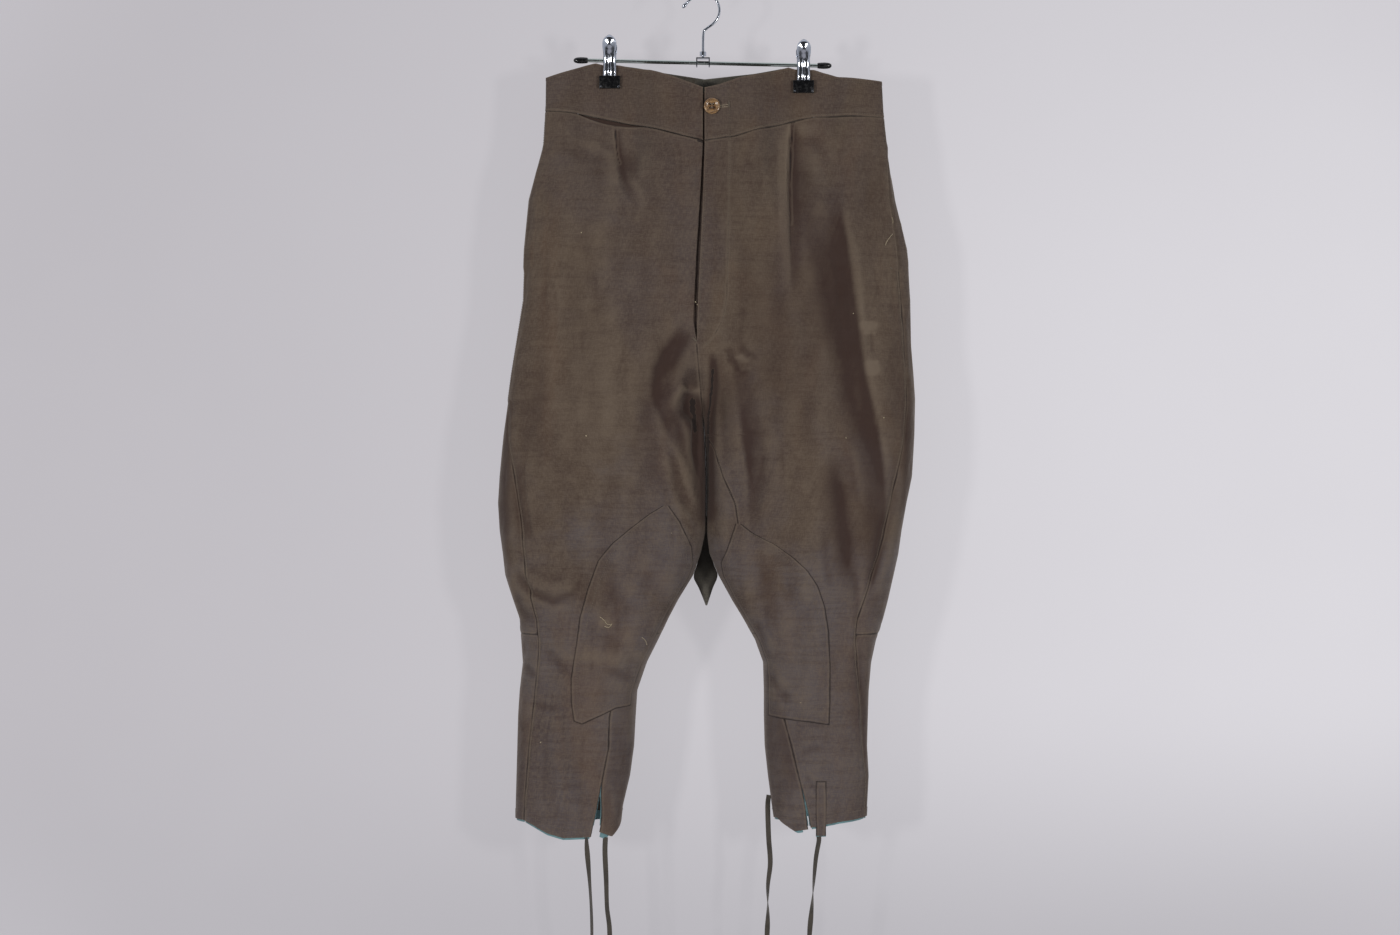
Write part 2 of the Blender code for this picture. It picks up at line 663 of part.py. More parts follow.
def band_back(surfaces):
    """The waistband's back, one piece from side seam to side seam."""
    half = end_spaced(BACK_COLUMNS)
    parts = np.linspace(0.0, 1.0, BAND_ROWS)[:, None]
    halves = []
    for leg in (RIGHT, LEFT):
        x = surfaces[leg].read(half, WAIST_LEVEL)[0][:, 0]
        top = along(BAND_TOP_BACK, x)
        drops = top + parts * (along(WAIST_SEAM_BACK, x) - SEAM_GAP / 2 - top)
        halves.append(surfaces[leg].read(np.broadcast_to(half, drops.shape), drops))
    points = np.concatenate((halves[0][0], halves[1][0][:, ::-1]), axis=1)
    normals = np.concatenate((halves[0][1], halves[1][1][:, ::-1]), axis=1)
    shell("waistband_back", points, normals, BAND_WALL)


def fly_underlap(faces):
    """Strip behind the fly and the button."""
    xs = UNDERLAP_COLUMNS
    levels = np.linspace(UNDERLAP_TOP, FLY_BOTTOM - UNDERLAP_MARGIN, UNDERLAP_ROWS)
    points = np.zeros((len(levels), len(xs), 3))
    normals = np.zeros_like(points)
    for row, drop in enumerate(levels):
        for col, x in enumerate(xs):
            face = faces[RIGHT if x < column(LEG_OUTLINE[LEFT], INNER_EDGE, drop) else LEFT]
            points[row, col], normals[row, col] = face.read(face.share_at_x(x, drop), drop)
    shell("fly_underlap", points - normals * UNDERLAP_DEPTH, normals, TAPE_WALL)


def watch_pocket(face):
    """Small pocket whose mouth is the slit under the right waistband."""
    low, high = WATCH_POCKET_SLIT
    xs = np.linspace(low, high, WATCH_POCKET_COLUMNS)
    points = np.zeros((WATCH_POCKET_ROWS, WATCH_POCKET_COLUMNS, 3))
    normals = np.zeros_like(points)
    for row, part in enumerate(np.linspace(0.0, 1.0, WATCH_POCKET_ROWS)):
        for col, x in enumerate(xs):
            top = along(WAIST_SEAM_FRONT, x) + SEAM_GAP
            drop = top + part * (WATCH_POCKET_DROP - top)
            points[row, col], normals[row, col] = face.read(face.share_at_x(x, drop), drop)
    shell("watch_pocket", points - normals * (PANEL_WALL + POCKET_GAP), normals, TAPE_WALL)


def patch_levels(leg):
    """The panels' own levels between a patch's two ends, with more of them near its curved top."""
    top = PATCH_OUTER[leg][0][0]
    bottom = min(drop for _, drop in PATCH_BOTTOM[leg])
    own = [*upper_levels(), *lower_levels()[1:], *PATCH_EXTRA_LEVELS]
    inside = [level for level in sorted(own) if top + PATCH_END_STEP < level < bottom - PATCH_END_STEP]
    return [top, *inside, bottom]


def knee_patch(leg, face):
    """Curved patch on the inner knee, laid on the leg."""
    name = "knee_patch_right" if leg == RIGHT else "knee_patch_left"
    levels = patch_levels(leg)
    points = np.zeros((len(levels), PATCH_COLUMNS, 3))
    normals = np.zeros_like(points)
    for row, level in enumerate(levels):
        for col, across in enumerate(end_spaced(PATCH_COLUMNS)):
            drop = level if row < len(levels) - 1 else along(PATCH_BOTTOM[leg], across)
            outer = face.share_at_x(along(PATCH_OUTER[leg], drop), drop)
            inner = face.share_at_x(along(PATCH_INNER[leg], drop), drop)
            share = outer + across * (inner - outer)
            points[row, col], normals[row, col] = face.read(share, drop)
    shell(name, points + normals * (PATCH_WALL + PATCH_GAP), normals, PATCH_WALL)


def slit_tab(face):
    """Tape end that hangs beside the left slit, past the hem."""
    xs = np.linspace(*TAB_SIDES, TAB_COLUMNS)
    levels = np.linspace(*TAB_ENDS, TAB_ROWS)
    points = np.zeros((len(levels), len(xs), 3))
    normals = np.zeros_like(points)
    for row, drop in enumerate(levels):
        for col, x in enumerate(xs):
            points[row, col], normals[row, col] = face.read(face.share_at_x(x, drop), drop)
    shell("slit_tab_left", points + normals * (TAPE_WALL + SEAM_GAP), normals, TAPE_WALL)


def smooth_route(points, step):
    """Points at even steps on a smooth curve through the route's own points."""
    points = np.asarray(points, float)
    padded = np.vstack((2 * points[0] - points[1], points, 2 * points[-1] - points[-2]))
    fine = []
    for index in range(len(points) - 1):
        a, b, c, d = padded[index:index + 4]
        for t in np.linspace(0.0, 1.0, ROUTE_SMOOTHING, endpoint=False):
            fine.append(0.5 * (2 * b + (c - a) * t + (2 * a - 5 * b + 4 * c - d) * t ** 2
                               + (3 * b - a - 3 * c + d) * t ** 3))
    fine = np.vstack((fine, points[-1]))
    at = np.concatenate(([0.0], np.cumsum(np.linalg.norm(np.diff(fine, axis=0), axis=1))))
    count = max(2, int(round(at[-1] / step)) + 1)
    places = np.linspace(0.0, at[-1], count)
    return np.column_stack([np.interp(places, at, fine[:, axis]) for axis in range(3)])


def tube(name, points, diameter, rounding, radii=None):
    """A round tube with closed ends along a line of points."""
    curve = bpy.data.curves.new(name, "CURVE")
    curve.dimensions = "3D"
    curve.bevel_depth = diameter / 2 * MM
    curve.bevel_resolution = rounding
    curve.use_fill_caps = True
    spline = curve.splines.new("POLY")
    spline.points.add(len(points) - 1)
    for index, point in enumerate(points):
        spline.points[index].co = (point[0] * MM, point[1] * MM, point[2] * MM, 1.0)
        spline.points[index].radius = 1.0 if radii is None else radii[index]
    return add_object(name, curve)


def tie(name, route):
    """One hem tie, hanging free."""
    points = smooth_route([(x, y, -drop) for x, y, drop in route], TIE_STEP)
    tube(name, points, TIE_DIAMETER, TIE_ROUNDING)


def turned(name, outline, origin, axis, sides):
    """Turn an outline of (radius, height) about an axis through the origin."""
    axis = np.asarray(axis, float) / np.linalg.norm(axis)
    helper = np.array((0.0, 0.0, 1.0)) if abs(axis[2]) < 0.9 else np.array((1.0, 0.0, 0.0))
    first = np.cross(axis, helper)
    first /= np.linalg.norm(first)
    second = np.cross(axis, first)
    vertices = []
    rings = []
    for radius, height in outline:
        centre = np.asarray(origin, float) + axis * height
        if radius == 0.0:
            rings.append([len(vertices)] * sides)
            vertices.append(centre)
            continue
        rings.append(list(range(len(vertices), len(vertices) + sides)))
        for index in range(sides):
            angle = 2 * math.pi * index / sides
            vertices.append(centre + radius * (math.cos(angle) * first + math.sin(angle) * second))
    faces = []
    closed = outline[0][0] > 0.0
    pairs = list(zip(rings[:-1], rings[1:])) + ([(rings[-1], rings[0])] if closed else [])
    for lower, upper in pairs:
        for index in range(sides):
            after = (index + 1) % sides
            face = [lower[index], lower[after], upper[after], upper[index]]
            unique = [corner for place, corner in enumerate(face) if corner not in face[:place]]
            if len(unique) > 2:
                faces.append(tuple(unique))
    return make_mesh(name, vertices, faces)


def face_outward(thing):
    """Turn all faces of a closed mesh outward."""
    mesh = thing.data
    volume = 0.0
    for polygon in mesh.polygons:
        corners = [np.array(mesh.vertices[index].co) for index in polygon.vertices]
        for second, third in zip(corners[1:-1], corners[2:]):
            volume += float(np.dot(corners[0], np.cross(second, third)))
    if volume < 0:
        mesh.flip_normals()


def box(name, low, high):
    """A plain box between two corners."""
    (x0, y0, z0), (x1, y1, z1) = low, high
    vertices = [(x, y, z) for x in (x0, x1) for y in (y0, y1) for z in (z0, z1)]
    faces = [(0, 1, 3, 2), (4, 6, 7, 5), (0, 4, 5, 1), (2, 3, 7, 6), (0, 2, 6, 4), (1, 5, 7, 3)]
    return make_mesh(name, vertices, faces)


def cut_away(thing, cutters):
    """Cut the cutters out of an object and remove them."""
    for cutter in cutters:
        face_outward(cutter)
        modifier = thing.modifiers.new("cut", "BOOLEAN")
        modifier.operation = "DIFFERENCE"
        modifier.solver = "EXACT"
        modifier.object = cutter
    bpy.context.view_layer.update()
    depsgraph = bpy.context.evaluated_depsgraph_get()
    result = bpy.data.meshes.new_from_object(thing.evaluated_get(depsgraph))
    thing.modifiers.clear()
    thing.data = result
    for cutter in cutters:
        PARTS.pop(cutter.name)
        bpy.data.objects.remove(cutter, do_unlink=True)


def waist_button(face):
    """Four-hole button on the left end of the waistband."""
    x, drop = BUTTON_PLACE
    near = [face.read(face.share_at_x(x + dx, drop + dz), drop + dz)[0][1]
            for dx in BUTTON_PROBES_X for dz in BUTTON_PROBES_DROP]
    origin = (x, min(near) - SEAM_GAP, -drop)
    button = turned("waist_button", BUTTON_OUTLINE, origin, (0, -1, 0), BUTTON_SIDES)
    face_outward(button)
    holes = []
    long = max(height for _, height in BUTTON_OUTLINE) + 2 * CUTTER_SPARE
    for index, (side, height) in enumerate(((-1, -1), (-1, 1), (1, -1), (1, 1))):
        centre = (x + side * BUTTON_HOLE_OFFSET, origin[1] + CUTTER_SPARE, -drop + height * BUTTON_HOLE_OFFSET)
        outline = ((0.0, 0.0), (BUTTON_HOLE_RADIUS, 0.0), (BUTTON_HOLE_RADIUS, long), (0.0, long))
        holes.append(turned("hole_%d" % index, outline, centre, (0, -1, 0), BUTTON_HOLE_SIDES))
    cut_away(button, holes)


def rod_drop(x):
    """Drop of the rod's centre, which hangs a little aslant."""
    (x0, z0), (x1, z1) = ROD_RIGHT, ROD_LEFT
    return -(z0 + (z1 - z0) * (x - x0) / (x1 - x0))


def rod_cutter(name, x, length):
    """Cylinder along the rod, a little wider than it."""
    direction = np.array((ROD_LEFT[0] - ROD_RIGHT[0], 0.0, ROD_LEFT[1] - ROD_RIGHT[1]))
    direction /= np.linalg.norm(direction)
    start = np.array((x, 0.0, -rod_drop(x))) - direction * length / 2
    radius = ROD_DIAMETER / 2 + ROD_CLEARANCE
    return turned(name, ((0.0, 0.0), (radius, 0.0), (radius, length), (0.0, length)),
                  start, direction, ROUND_SIDES)


def hanger():
    """Hook, collar, bracket, rod and end caps."""
    route = smooth_route([(x, 0.0, z) for x, z in HOOK_ROUTE], HOOK_STEP)
    tip = HOOK_TIP_RADIUS / (WIRE_DIAMETER / 2)
    swell = [1.0 + (tip - 1.0) * math.exp(-((index - 1) / HOOK_TIP_REACH) ** 2)
             for index in range(len(route))]
    tube("hanger_hook", route, WIRE_DIAMETER, HOOK_ROUNDING, swell)
    bore = WIRE_DIAMETER / 2 + SEAM_GAP
    ring = ((bore, 0.0), (COLLAR_RADIUS, 0.0), (COLLAR_RADIUS, COLLAR_HEIGHT), (bore, COLLAR_HEIGHT))
    collar = turned("hanger_collar", ring, (0, 0, -COLLAR_BOTTOM), (0, 0, 1), ROUND_SIDES)
    face_outward(collar)
    half, deep = BRACKET_OUTER / 2, BRACKET_WIDTH / 2
    bracket = box("hanger_bracket", (-half, -deep, -BRACKET_BOTTOM), (half, deep, -BRACKET_TOP))
    face_outward(bracket)
    inner = half - BRACKET_THICKNESS
    hollow = box("hollow", (-inner, -deep - CUTTER_SPARE, -BRACKET_BOTTOM - CUTTER_SPARE),
                 (inner, deep + CUTTER_SPARE, -BRACKET_TOP - BRACKET_THICKNESS))
    cut_away(bracket, [hollow, rod_cutter("bore", 0.0, BRACKET_OUTER + 6 * CUTTER_SPARE)])
    start = np.array((ROD_RIGHT[0], 0.0, ROD_RIGHT[1]))
    end = np.array((ROD_LEFT[0], 0.0, ROD_LEFT[1]))
    radius = ROD_DIAMETER / 2
    length = np.linalg.norm(end - start)
    rod = turned("hanger_rod", ((0.0, 0.0), (radius, 0.0), (radius, length), (0.0, length)),
                 start, end - start, ROUND_SIDES)
    face_outward(rod)
    for name, tip_at, inward in (("hanger_cap_right", start, end - start), ("hanger_cap_left", end, start - end)):
        inward = inward / np.linalg.norm(inward)
        cap_radius, bore = CAP_DIAMETER / 2, radius + ROD_CLEARANCE
        wall = CAP_LENGTH - CAP_OVERLAP
        outline = ((0.0, 0.0), (cap_radius - CAP_CHAMFER, 0.0), (cap_radius, CAP_CHAMFER),
                   (cap_radius, CAP_LENGTH),
                   (bore, CAP_LENGTH), (bore, wall - SEAM_GAP), (0.0, wall - SEAM_GAP))
        cap = turned(name, outline, tip_at - inward * wall, inward, ROUND_SIDES)
        face_outward(cap)


def clip(side, x):
    """One clip: two arms, two pads and the sleeve that rides on the rod."""
    centre = rod_drop(x)
    rows = len(CLIP_PROFILE)
    for face, where in ((FRONT, "front"), (BACK, "back")):
        line = np.array([(face * y, -(centre + down)) for y, down in CLIP_PROFILE])
        tangent = np.gradient(line, axis=0)
        tangent /= np.linalg.norm(tangent, axis=1)[:, None]
        normal = np.column_stack((-tangent[:, 1], tangent[:, 0])) * face
        points = np.zeros((rows, 2, 3))
        normals = np.zeros_like(points)
        for col, place in enumerate((x - CLIP_WIDTH / 2, x + CLIP_WIDTH / 2)):
            points[:, col, 0] = place
            points[:, col, 1:] = line + normal * CLIP_THICKNESS
            normals[:, col, 1:] = normal
        arm = shell("clip_%s_arm_%s" % (side, where), points, normals, CLIP_THICKNESS)
        face_outward(arm)
        near = PINCHED_DEPTH + SEAM_GAP
        low, high = sorted((face * near, face * (near + PAD_THICKNESS)))
        pad = box("clip_%s_pad_%s" % (side, where), (x - PAD_WIDTH / 2, low, -(centre + PAD_BELOW)),
                  (x + PAD_WIDTH / 2, high, -(centre + PAD_ABOVE)))
        face_outward(pad)
    half = SLEEVE_LENGTH / 2
    sleeve = box("clip_%s_sleeve" % side, (x - half, -SLEEVE_HALF_DEPTH, -centre - SLEEVE_HALF_HEIGHT),
                 (x + half, SLEEVE_HALF_DEPTH, -centre + SLEEVE_HALF_HEIGHT))
    face_outward(sleeve)
    cut_away(sleeve, [rod_cutter("bore", x, SLEEVE_LENGTH + 6 * CUTTER_SPARE)])


def build():
    """Build every piece."""
    clear_scene()
    fronts = {leg: Surface(leg, "front") for leg in (RIGHT, LEFT)}
    faces = {leg: Surface(leg, "face") for leg in (RIGHT, LEFT)}
    backs = {leg: Surface(leg, "back") for leg in (RIGHT, LEFT)}
    for leg in (RIGHT, LEFT):
        front_panel(leg, fronts[leg])
        back_panel(leg, backs[leg])
        calf_panel(leg, backs[leg])
        band_front(leg, fronts[leg])
        knee_patch(leg, faces[leg])
    band_back(backs)
    fly_underlap(faces)
    watch_pocket(faces[RIGHT])
    slit_tab(faces[LEFT])
    for name, route in TIE_ROUTES.items():
        tie(name, route)
    waist_button(faces[LEFT])
    hanger()
    clip("right", CLIP_CENTRES[0])
    clip("left", CLIP_CENTRES[1])


build()
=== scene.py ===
"""Looks of the army breeches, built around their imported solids.

Tables are in millimetres. The origin is the inner top of the hanger's hook, +Z is up, the
front faces -Y and +X is the wearer's left. A "drop" is a distance below the hook. The
garment's outline and its main folds repeat the values of the solids.
"""
import math

import bpy
import numpy as np
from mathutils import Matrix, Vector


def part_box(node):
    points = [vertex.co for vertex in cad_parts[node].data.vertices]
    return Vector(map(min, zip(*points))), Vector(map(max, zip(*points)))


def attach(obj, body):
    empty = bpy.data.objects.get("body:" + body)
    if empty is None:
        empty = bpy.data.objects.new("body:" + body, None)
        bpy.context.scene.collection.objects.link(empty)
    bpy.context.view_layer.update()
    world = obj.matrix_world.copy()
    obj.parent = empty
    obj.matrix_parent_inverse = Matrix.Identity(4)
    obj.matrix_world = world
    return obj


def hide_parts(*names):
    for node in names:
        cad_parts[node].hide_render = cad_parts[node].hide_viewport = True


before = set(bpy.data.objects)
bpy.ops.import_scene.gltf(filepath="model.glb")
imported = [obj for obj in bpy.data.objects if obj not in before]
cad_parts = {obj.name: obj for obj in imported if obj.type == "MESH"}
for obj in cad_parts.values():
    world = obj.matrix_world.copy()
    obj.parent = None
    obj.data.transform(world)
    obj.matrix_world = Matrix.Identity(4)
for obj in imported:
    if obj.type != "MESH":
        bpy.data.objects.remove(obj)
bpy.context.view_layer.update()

MM = 0.001
SEAM_GAP = 0.3
FORK_GAP = 0.02
FRONT = -1
BACK = 1
RIGHT = -1
LEFT = 1
SIDE_NAMES = {RIGHT: "right", LEFT: "left"}

# Each leg from the front: drop, outer edge, side seam, inner seam, inner edge.
# Above the crotch the inner seam and edge are the centre line.
LEG_OUTLINE = {
    RIGHT: (
        (80, -196, -196, 2, 2),
        (154, -197, -197, 2, 2),
        (194, -199, -199, 2, 2),
        (257, -216, -216, 0, 0),
        (319, -222, -222, -3, -3),
        (382, -224, -224, -6, -6),
        (438, -233, -233, -8, -8),
        (475, -239, -239, -5, -5),
        (506, -243, -243, -2, -2),
        (550, -249, -243, 2, 2),
        (569, -251, -240, 3, 3),
        (602, -254, -234, 4, 4),
        (635, -256, -229, 4, 4),
        (669, -254, -224, 4, 4),
        (698, -250, -221, -4, -3),
        (725, -247, -219, -15, -12),
        (756, -237, -212, -37, -31),
        (779, -229, -206, -55, -43),
        (806, -227, -203, -75, -56),
        (834, -225, -204, -95, -70),
        (869, -229, -208, -111, -82),
        (900, -231, -211, -116, -84),
        (938, -232, -215, -117, -86),
        (975, -233, -218, -124, -91),
        (1013, -234, -221, -131, -100),
        (1055, -234, -221, -140, -104),
    ),
    LEFT: (
        (80, 222, 222, 2, 2),
        (154, 226, 226, 2, 2),
        (194, 231, 230, 2, 2),
        (257, 240, 231, 0, 0),
        (319, 255, 239, -3, -3),
        (382, 259, 245, -6, -6),
        (438, 260, 250, -8, -8),
        (475, 263, 252, -5, -5),
        (506, 265, 252, -2, -2),
        (550, 264, 248, 2, 2),
        (569, 263, 245, 14, 3),
        (602, 261, 239, 25, 4),
        (635, 254, 232, 39, 4),
        (669, 248, 225, 44, 4),
        (698, 244, 219, 45, 8),
        (725, 238, 209, 48, 19),
        (756, 231, 198, 56, 36),
        (779, 225, 191, 64, 50),
        (806, 216, 188, 74, 65),
        (834, 210, 190, 83, 75),
        (869, 207, 194, 92, 76),
        (900, 206, 197, 100, 76),
        (938, 205, 199, 110, 77),
        (975, 207, 203, 119, 81),
        (1013, 205, 202, 129, 86),
        (1055, 203, 200, 136, 92),
    ),
}
OUTER_EDGE, SIDE_SEAM, INNER_SEAM, INNER_EDGE = 1, 2, 3, 4

# How deep the cloth stands: drop, before the hanger's plane, behind it.
DEPTHS = (
    (80, 16, 16),
    (130, 20, 20),
    (190, 30, 34),
    (260, 40, 48),
    (350, 48, 60),
    (450, 54, 70),
    (550, 57, 72),
    (640, 60, 70),
    (720, 58, 64),
    (800, 50, 54),
    (860, 42, 46),
    (950, 37, 39),
    (1055, 34, 34),
)
ROUNDNESS = 2.4
CROTCH_TOP = 440
CROTCH_BOTTOM = 550
CLIP_CENTRES = (-116.5, 125.5)
PINCH_HALF_WIDTH = 26
PINCH_FADE = 40
PINCH_DROP = 138
PINCH_END = 285
PINCHED_DEPTH = 2.6

# Lines of folds that both tables of the front use, as (x, drop).
THIGH_TROUGH = ((149, 254), (162, 354), (172, 420), (180, 500), (205, 564), (220, 625))
INNER_TROUGH = ((46, 498), (58, 600), (61, 700))
CROTCH_CREASE = ((25, 400), (39, 433), (48, 465))
CROTCH_HOLLOW = ((-14, 405), (-42, 453), (-68, 510), (-60, 590), (-28, 654))
FLARE_FOLD = ((-246, 700), (-229, 732), (-214, 747), (-184, 753), (-159, 745), (-146, 715))
SMALL_PLEAT = ((136, 205), (132, 229), (136, 264), (140, 290))

# Folds of the front: points as (x, drop), depth inward, reach to -X, reach to +X,
# fade at the upper end, fade at the lower end. A negative depth is a ridge.
FRONT_FOLDS = (
    # pleats below the waistband
    (((112, 163), (109, 205), (107, 250), (109, 294), (112, 383), (115, 413)), 7, 3, 26, 25, 150),
    (((-111, 166), (-106, 208), (-99, 240), (-80, 270), (-65, 282)), 5, 3, 22, 60, 90),
    (SMALL_PLEAT, 2.5, 7, 7, 25, 40),
    # long troughs of the left thigh, with the sharp edge beside the first
    (THIGH_TROUGH, 11, 22, 13, 70, 90),
    (((180, 300), (187, 400), (203, 500)), -4, 8, 9, 60, 70),
    (((164, 564), (174, 640), (179, 700), (179, 750)), 7, 16, 14, 60, 70),
    (INNER_TROUGH, 8, 17, 15, 70, 70),
    (((60, 690), (80, 745), (112, 795)), 4, 24, 22, 50, 50),
    (CROTCH_CREASE, 4, 9, 9, 25, 30),
    (((228, 670), (216, 708), (201, 746)), 5, 8, 8, 30, 30),
    # the right thigh, the crotch and the fold under the right flare
    (CROTCH_HOLLOW, 10, 22, 17, 60, 70),
    (((-13, 460), (-15, 500), (-16, 538)), 11, 10, 9, 30, 18),
    (FLARE_FOLD, 9, 15, 14, 40, 40),
    (((-205, 430), (-212, 520), (-205, 610)), 5, 26, 24, 90, 90),
)
BACK_FOLDS = (
    (((0, 430), (-60, 500), (-118, 585), (-150, 660)), 12, 20, 18, 70, 80),
    (((6, 430), (68, 505), (122, 590), (160, 670)), 11, 19, 20, 70, 80),
    (((-196, 480), (-190, 580), (-160, 690), (-120, 760)), 9, 20, 20, 80, 80),
    (((214, 470), (205, 590), (170, 700), (130, 770)), 8, 20, 20, 80, 80),
    (((-70, 700), (-120, 752), (-180, 770)), 6, 14, 12, 40, 40),
    (((60, 700), (110, 760), (170, 778)), 6, 13, 14, 40, 40),
    (((-60, 230), (-74, 330), (-96, 420)), 5, 22, 22, 70, 80),
    (((80, 235), (92, 330), (108, 425)), 5, 22, 22, 70, 80),
)

# Smaller folds and puckers that only the visible cloth has, in the same columns.
FINE_FRONT_FOLDS = (
    # sharper sides for the broad troughs, and shallower middles
    (((166, 254), (180, 340), (188, 410), (198, 480), (210, 540)), 4, 16, 4, 60, 50),
    (THIGH_TROUGH, -4, 22, 13, 70, 90),
    (((-12, 404), (-30, 428), (-45, 450), (-54, 470), (-57, 490), (-53, 512), (-42, 538),
      (-26, 568), (-8, 600)), 3.6, 7, 20, 40, 60),
    (CROTCH_HOLLOW, -5, 22, 17, 60, 70),
    (FLARE_FOLD, -8.2, 15, 14, 40, 40),
    (((-240, 706), (-228, 730), (-212, 746), (-184, 754), (-160, 746), (-150, 724)),
     2.4, 3, 8, 30, 30),
    (INNER_TROUGH, -4, 17, 15, 70, 70),
    (((44, 500), (56, 600), (62, 690)), 3, 4, 12, 60, 60),
    (SMALL_PLEAT, -2.3, 7, 7, 25, 40),
    (((149, 254), (155, 300), (159, 330)), -3, 20, 12, 20, 40),
    (((146, 215), (152, 260), (160, 320)), 2.0, 24, 12, 50, 50),
    # the opening between the thighs, with its rolled upper lip
    (((-4, 500), (-5, 531), (-5, 574), (1, 610)), 6, 7, 7, 25, 40),
    (((-38, 522), (-34, 504), (-24, 493), (-8, 498), (4, 512)), -3, 4, 4, 12, 12),
    (((-40, 530), (-30, 574), (-14, 621), (-6, 650)), -2.4, 6, 6, 20, 20),
    # sharp shadow sides of the left thigh's long trough
    (((182, 300), (190, 400), (200, 490)), 3, 10, 4, 50, 60),
    (((164, 300), (172, 380), (176, 440)), 2.5, 5, 9, 50, 60),
    (((199, 480), (214, 560), (224, 640)), 3.5, 9, 7, 40, 60),
    (((176, 560), (186, 610), (191, 650)), 3, 10, 5, 40, 40),
    (((240, 560), (232, 640), (214, 700)), 3, 8, 7, 50, 40),
    (((8, 444), (12, 464), (12, 490), (8, 524), (7, 560), (6, 610), (6, 640)), 3.4, 4, 5, 24, 20),
    # the long soft crease from the right pocket to below the pleat
    (((-169, 178), (-132, 190), (-102, 214), (-78, 248), (-62, 286)), -1.3, 10, 4, 40, 40),
    # creases that fan from the crotch
    (CROTCH_CREASE, -3, 9, 9, 25, 30),
    (((27, 440), (33, 452), (36, 470)), 2.6, 4, 6, 10, 12),
    (((40, 444), (52, 450), (66, 452)), 1.2, 3, 3, 8, 8),
    (((34, 466), (48, 474), (60, 474)), 1.0, 3, 3, 8, 8),
    (((-16, 420), (-30, 450), (-44, 486)), 3, 8, 7, 20, 30),
    (((-2, 500), (-6, 560), (-4, 620)), 3, 6, 5, 30, 40),
    (((-46, 480), (-78, 540), (-96, 600)), 2.2, 14, 12, 40, 50),
    (((20, 480), (24, 540), (30, 610)), 2.4, 7, 7, 40, 40),
    (((-40, 560), (-30, 610), (-16, 650)), 3, 6, 9, 30, 20),
    (((62, 500), (72, 580), (70, 650)), 1.8, 9, 8, 40, 50),
    # the flat ridges and hollows of the right thigh
    (((-150, 250), (-160, 360), (-150, 470)), 1.8, 28, 24, 90, 90),
    (((-60, 300), (-70, 380), (-90, 450)), 1.8, 16, 20, 60, 60),
    (((-100, 330), (-112, 430), (-118, 540)), -1.8, 22, 20, 80, 80),
    (((-170, 470), (-165, 560), (-140, 640)), -2, 22, 24, 80, 80),
    (((-236, 560), (-228, 640), (-214, 690)), 2.5, 7, 8, 40, 40),
    # smile folds over the right knee, and the hollows beside it
    (((-236, 716), (-216, 742), (-184, 757), (-150, 748)), 1.2, 5, 5, 24, 24),
    (((-232, 690), (-214, 716), (-186, 730), (-158, 722)), 1.0, 4, 7, 24, 24),
    (((-240, 740), (-226, 768), (-206, 790)), 3, 6, 7, 20, 24),
    (((-198, 808), (-179, 832), (-164, 853)), 2.6, 9, 8, 20, 22),
    (((-126, 836), (-104, 846), (-79, 853)), 2.2, 8, 7, 20, 20),
    (((-120, 720), (-96, 760), (-84, 800)), 2, 16, 14, 40, 40),
    (((-60, 700), (-76, 750), (-100, 790)), 2, 14, 12, 40, 40),
    (((-150, 780), (-120, 800), (-96, 826)), 1.6, 12, 11, 30, 30),
    # the right calf
    (((-223, 832), (-216, 842), (-206, 854)), 2, 5, 5, 8, 10),
    (((-190, 900), (-196, 960), (-200, 1010)), 1.8, 9, 8, 40, 40),
    (((-150, 930), (-156, 980), (-166, 1020)), 1.4, 8, 8, 30, 30),
    (((-216, 880), (-190, 890), (-170, 886)), 1.5, 6, 6, 16, 20),
    # the left knee and calf
    (((90, 720), (118, 762), (150, 790)), 2.2, 14, 14, 34, 34),
    (((150, 660), (150, 700), (160, 760)), 2.2, 7, 9, 30, 40),
    (((188, 700), (190, 760), (192, 820)), 3, 7, 5, 40, 60),
    (((194, 830), (200, 900), (202, 980)), 2.6, 7, 5, 40, 60),
    (((76, 840), (98, 872), (112, 884)), 2.2, 7, 7, 16, 18),
    (((149, 936), (118, 944)), 1.2, 5, 5, 8, 8),
    (((120, 900), (140, 908), (160, 904)), 1.3, 6, 6, 12, 14),
    (((127, 968), (134, 984), (146, 996)), 1.8, 4, 4, 8, 10),
    (((60, 770), (72, 800), (80, 836)), 2.6, 6, 8, 20, 20),
    # flat strain beside the waist, the watch pocket and the fly
    (((-190, 180), (-160, 200), (-120, 214)), 1.2, 10, 9, 30, 40),
    (((-95, 190), (-84, 230), (-60, 262)), 1.2, 9, 10, 20, 30),
    (((30, 240), (44, 290), (40, 350)), 1.1, 12, 12, 40, 40),
    (((20, 200), (60, 214), (96, 206)), 0.9, 8, 8, 20, 20),
    (((130, 172), (150, 200), (160, 250)), 1.4, 9, 12, 16, 40),
    (((196, 180), (204, 230), (210, 290)), 1.8, 12, 10, 30, 40),
    # puckers between the two mended places
    (((201, 424), (203, 440), (202, 458)), 1.6, 2.6, 2.6, 6, 6),
    (((209, 422), (208, 438), (210, 452)), 1.3, 2.4, 2.6, 6, 6),
    (((45, 436), (52, 448), (56, 458)), 1.6, 3.5, 3.5, 6, 6),
    (((33, 452), (40, 462), (44, 474)), 1.2, 3, 3, 6, 6),
)
